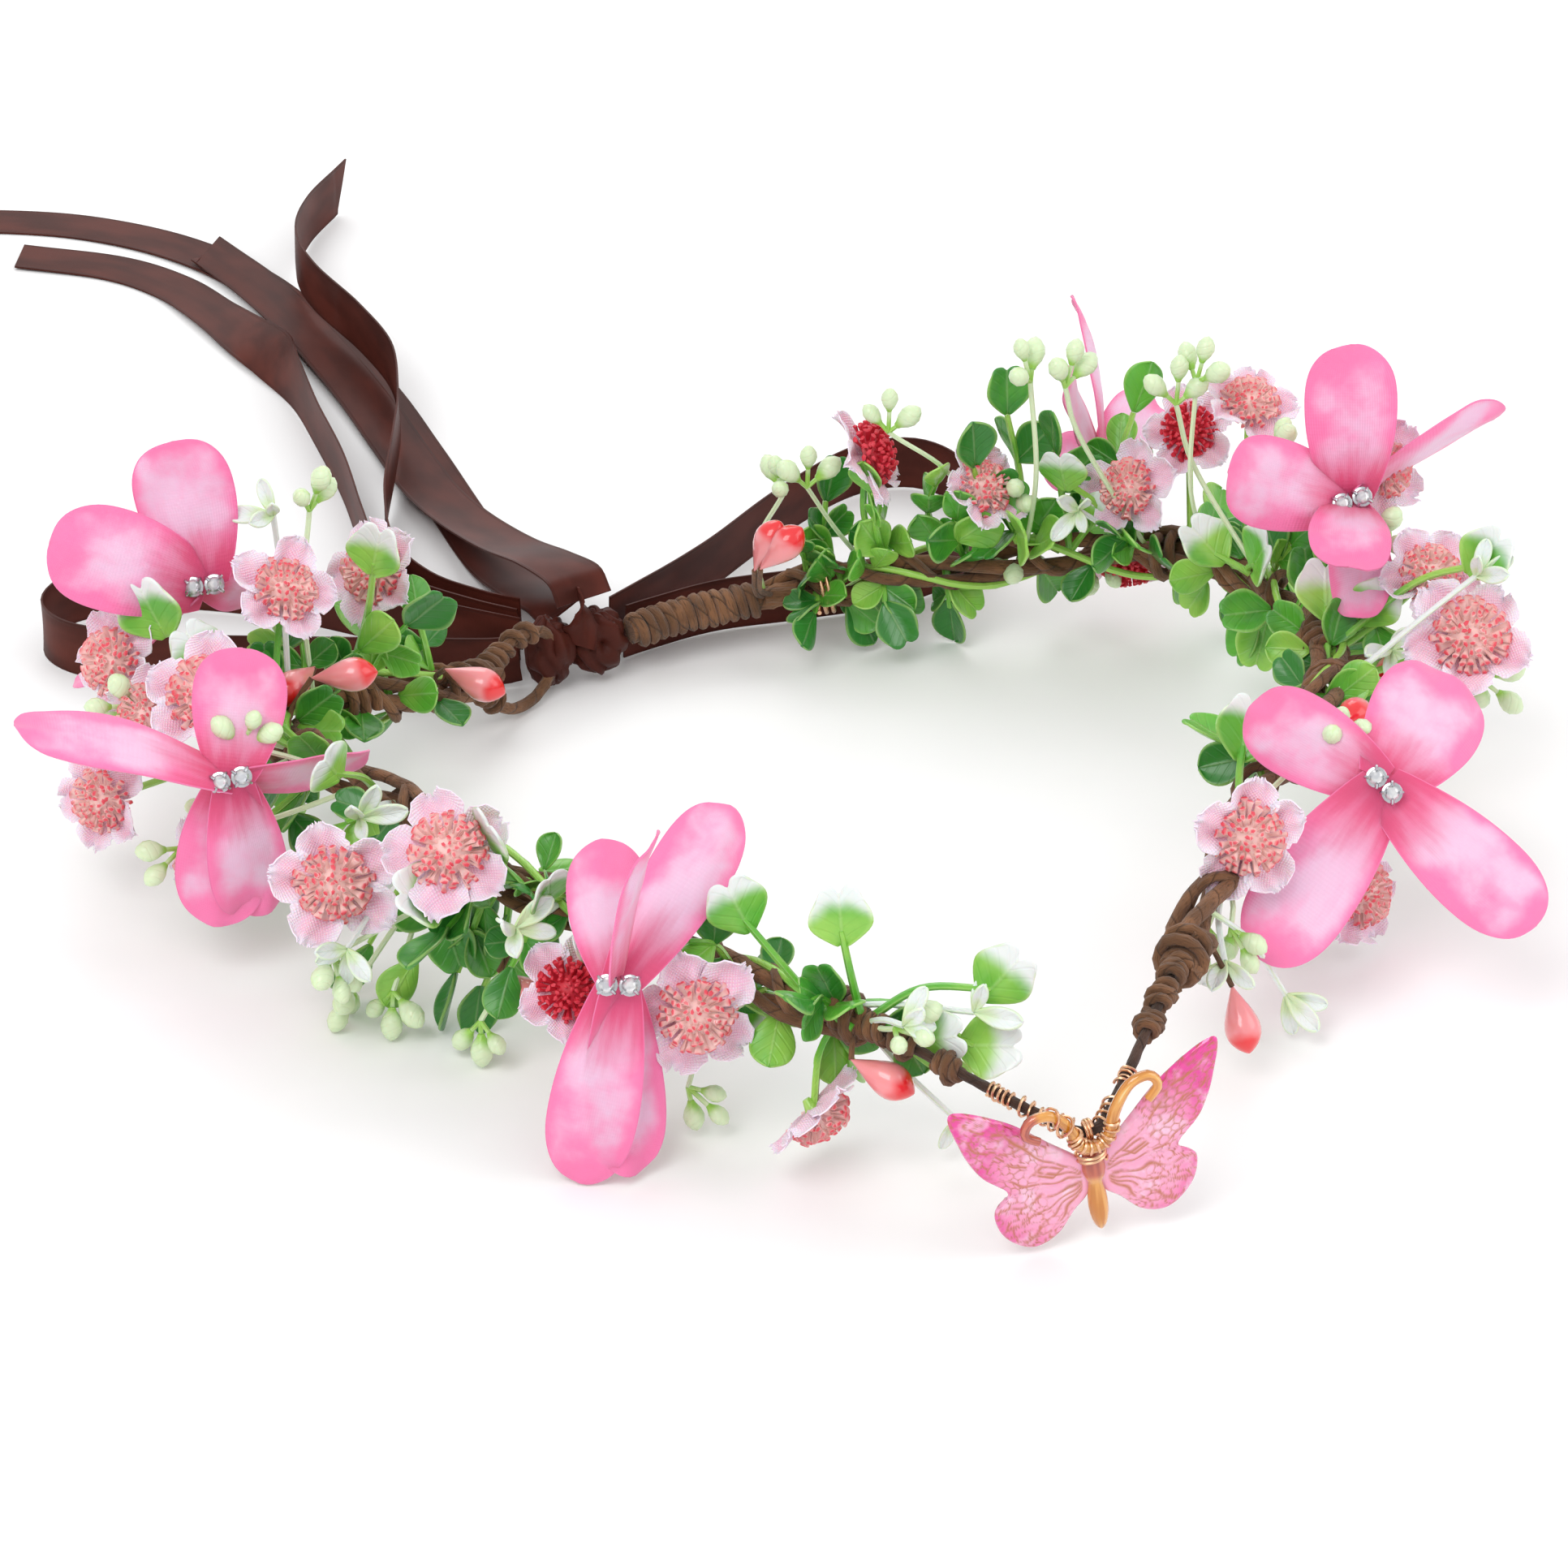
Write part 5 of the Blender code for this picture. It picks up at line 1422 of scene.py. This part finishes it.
def charm_wing(side, sign, thickness):
    """One cast wing: a domed outline with raised foil lines and a groove between its two lobes."""
    corners = [Vector((x, y, 0.0)) for x, y in CHARM_WING]
    outline = smooth_path(corners + [corners[0]], CHARM_RIM_STEP)
    columns = len(outline) - 1
    centre = Vector((*CHARM_CENTRE, 0.0))
    rows = CHARM_RINGS
    faces = []
    for front in (1, -1):
        spots = []
        for row in range(rows + 1):
            for column in range(columns + 1):
                spots.append(centre.lerp(outline[column % columns], row / rows))
        flat = numpy.array([spot[:2] for spot in spots])
        drift = numpy.array([[noise.noise(spot * 0.3 + part) for part in FOIL_DRIFT] for spot in spots])
        foil = foil_lines(flat + 1.1 * drift)
        groove = numpy.clip(1.0 - to_lines(flat, [CHARM_GROOVE]) / 0.9, 0.0, 1.0)
        item = shaped_grid(columns, rows, lambda u, v, column, row: spots[row * (columns + 1) + column])
        gilt = item.data.attributes.new("foil", "FLOAT", "POINT")
        from_root = numpy.linalg.norm(flat - numpy.array(CHARM_ROOT), axis=1)
        reach = numpy.clip((from_root - 2.0) / 18.0, 0.0, 1.0)
        for index, vertex in enumerate(item.data.vertices):
            rim = index // (columns + 1) / rows
            dome = thickness / 2 / MM * math.sqrt(max(0.0, 1.0 - rim ** 9))
            relief = (0.16 * foil[index] - 0.35 * groove[index]) * (1.0 - rim ** 12)
            bend = 0.0035 * (vertex.co.x - CHARM_ROOT[0]) ** 2
            vertex.co = Vector((sign * vertex.co.x, vertex.co.y, front * (dome + relief) + bend)) * MM
            gilt.data[index].value = float(foil[index])
        uv = item.data.uv_layers.active.data
        for loop in item.data.loops:
            rim = loop.vertex_index // (columns + 1) / rows
            uv[loop.index].uv = (rim, float(reach[loop.vertex_index]) * (0.75 + 0.3 * rim ** 3))
        item.data.transform(charm_place(CHARM_HEAD))
        faces.append(item)
    return piece(f"charm_{side}", faces, "charm_resin", body="charm", replaces=[f"charm_wing_{side}"],
                 angle=60.0)


class CROWN_OT_charm(bpy.types.Operator):
    """Make the cast butterfly charm, its antennae and its hanging wire"""
    bl_idname = "crown.charm"
    bl_label = "Butterfly charm"

    def execute(self, context):
        sizes = context.scene.crown_sizes
        place = charm_place(CHARM_HEAD)
        for side, sign in (("left", -1), ("right", 1)):
            charm_wing(side, sign, sizes.resin)
        heights = [0.2, -0.2, -1.0, -2.4, -4.2, -5.8, -6.6, -7.6, -9.6, -12.2, -14.4, -15.3, -15.7]
        widths = [0.0, 0.8, 1.25, 1.75, 2.05, 1.55, 1.05, 1.25, 1.65, 1.6, 1.1, 0.5, 0.0]
        points = [Vector((0, height * MM, 0.5 * MM)) for height in heights]
        body = tube(points, lambda along, _: widths[round(along * 12)] * MM, 18)
        applied(body, "SUBSURF", levels=1, render_levels=1)
        body.data.transform(place)
        piece("charm_amber_body", [body], "amber_resin", body="charm", replaces=["charm_body"], angle=80.0)
        route = [Vector((x * MM, (y + 0.4) * MM, 3.0 * MM)) for x, y in CHARM_ANTENNAE]
        antennae = smooth_path(route, 0.8 * MM)
        feelers = tube(antennae, lambda along, _: (0.72 + 0.25 * math.sin(math.pi * along)) * MM, 12)
        feelers.data.transform(place)
        piece("charm_feelers", [feelers], "amber_resin", body="charm", replaces=["charm_antennae"],
              angle=80.0)
        coils = [wound(antennae, 0.34, 0.62, 9, 1.1 * MM, sizes.copper, 6, 0.0, 14, 0.2),
                 wound(antennae, 0.2, 0.4, 3, 1.3 * MM, sizes.copper, 6, 1.0, 14, 0.25)]
        neck = [Vector((0, height * MM, 0.5 * MM)) for height in (1.4, 0.6, -0.2, -1.0, -1.8, -2.6)]
        coils.append(wound(neck, 0.0, 1.0, 4.5, 2.1 * MM, 1.1 * sizes.copper, 6, 0.6, 18, 0.25))
        for coil in coils:
            coil.data.transform(place)
        steps = 52
        ring = []
        for step in range(steps):
            angle = math.tau * step / 24
            shift = (step / (steps - 1) - 0.5) * 1.1
            ring.append(Vector((shift, 1.6 * math.cos(angle), 1.6 * math.sin(angle))) * MM)
        hanger = tube(ring, 1.3 * sizes.copper, 8)
        hanger.data.transform(charm_place())
        piece("charm_wire", coils + [hanger], "copper_wire", body="charm", replaces=["charm_ring"])
        return {"FINISHED"}


# ---------------------------------------------------------------- stage
VIEW_BACK = Vector((-0.268, -0.824, 0.5)).normalized()     # from the crown to the camera
VIEW_ACROSS = Vector((0.951, -0.309, 0.0)).normalized()    # to the right in the picture
VIEW_DISTANCE = 1.2
VIEW_LENS = 165.5
VIEW_SENSOR = 36.0
VIEW_SHIFT = (-0.0098, 0.0435)
FLOOR_SIZE = 8.0
SKY_STRENGTH = 0.86
# Soft lamps: place, size and power.
LAMPS = {
    "key": ((-0.9, -0.9, 1.5), 1.0, 13.0),
    "fill": ((1.3, -0.8, 1.0), 1.2, 6.0),
    "back": ((0.2, 1.4, 1.2), 1.0, 6.0),
}


class CROWN_OT_stage(bpy.types.Operator):
    """Set the camera, the pale floor and the soft lights"""
    bl_idname = "crown.stage"
    bl_label = "Stage"

    def execute(self, context):
        scene = context.scene
        upward = VIEW_BACK.cross(VIEW_ACROSS)
        camera = bpy.data.objects.new("camera", bpy.data.cameras.new("camera"))
        scene.collection.objects.link(camera)
        turn = Matrix((VIEW_ACROSS, upward, VIEW_BACK)).transposed().to_4x4()
        camera.matrix_world = Matrix.Translation(bench((0, 0, 0)) + VIEW_BACK * VIEW_DISTANCE) @ turn
        camera.data.lens = VIEW_LENS
        camera.data.sensor_width = VIEW_SENSOR
        camera.data.shift_x, camera.data.shift_y = VIEW_SHIFT
        camera.data.clip_end = 20.0
        scene.camera = camera
        bpy.ops.object.select_all(action="DESELECT")
        bpy.ops.mesh.primitive_plane_add(size=FLOOR_SIZE, location=(0, 0, 0))
        floor = context.object
        floor.name = "floor"
        floor.data.materials.append(floor_finish())
        world = scene.world or bpy.data.worlds.new("studio")
        scene.world = world
        world.use_nodes = True
        sky = world.node_tree.nodes["Background"]
        sky.inputs["Color"].default_value = (1.0, 1.0, 1.0, 1.0)
        sky.inputs["Strength"].default_value = SKY_STRENGTH
        for name, (spot, size, power) in LAMPS.items():
            data = bpy.data.lights.new(name, "AREA")
            data.size = size
            data.energy = power
            lamp = bpy.data.objects.new(name, data)
            scene.collection.objects.link(lamp)
            lamp.location = spot
            lamp.rotation_euler = (-Vector(spot)).to_track_quat("-Z", "Y").to_euler()
        scene.view_settings.view_transform = "Standard"
        return {"FINISHED"}


class CROWN_PT_panel(bpy.types.Panel):
    """Lists the crown's pieces in the order they are made"""
    bl_label = "Flower crown"
    bl_idname = "CROWN_PT_panel"
    bl_space_type = "VIEW_3D"
    bl_region_type = "UI"
    bl_category = "Crown"

    def draw(self, context):
        for step in STEPS:
            self.layout.operator(step.bl_idname)
        for group in (context.scene.crown_sizes, context.scene.crown_colours):
            box = self.layout.box()
            for key in group.__annotations__:
                box.prop(group, key)


STEPS = (
    CROWN_OT_stage, CROWN_OT_ribbon, CROWN_OT_vines, CROWN_OT_ends, CROWN_OT_front, CROWN_OT_butterflies,
    CROWN_OT_blossoms, CROWN_OT_pips, CROWN_OT_greenery, CROWN_OT_charm)
CLASSES = (CrownSizes, CrownColours, *STEPS, CROWN_PT_panel)


def register():
    for item in CLASSES:
        bpy.utils.register_class(item)
    bpy.types.Scene.crown_sizes = PointerProperty(type=CrownSizes)
    bpy.types.Scene.crown_colours = PointerProperty(type=CrownColours)


def unregister():
    del bpy.types.Scene.crown_colours
    del bpy.types.Scene.crown_sizes
    for item in reversed(CLASSES):
        bpy.utils.unregister_class(item)


def main():
    register()
    bpy.ops.crown.stage()
    bpy.ops.crown.ribbon()
    bpy.ops.crown.vines()
    bpy.ops.crown.ends()
    bpy.ops.crown.front()
    bpy.ops.crown.butterflies()
    bpy.ops.crown.blossoms()
    bpy.ops.crown.pips()
    bpy.ops.crown.greenery()
    bpy.ops.crown.charm()


if __name__ == "__main__":
    main()
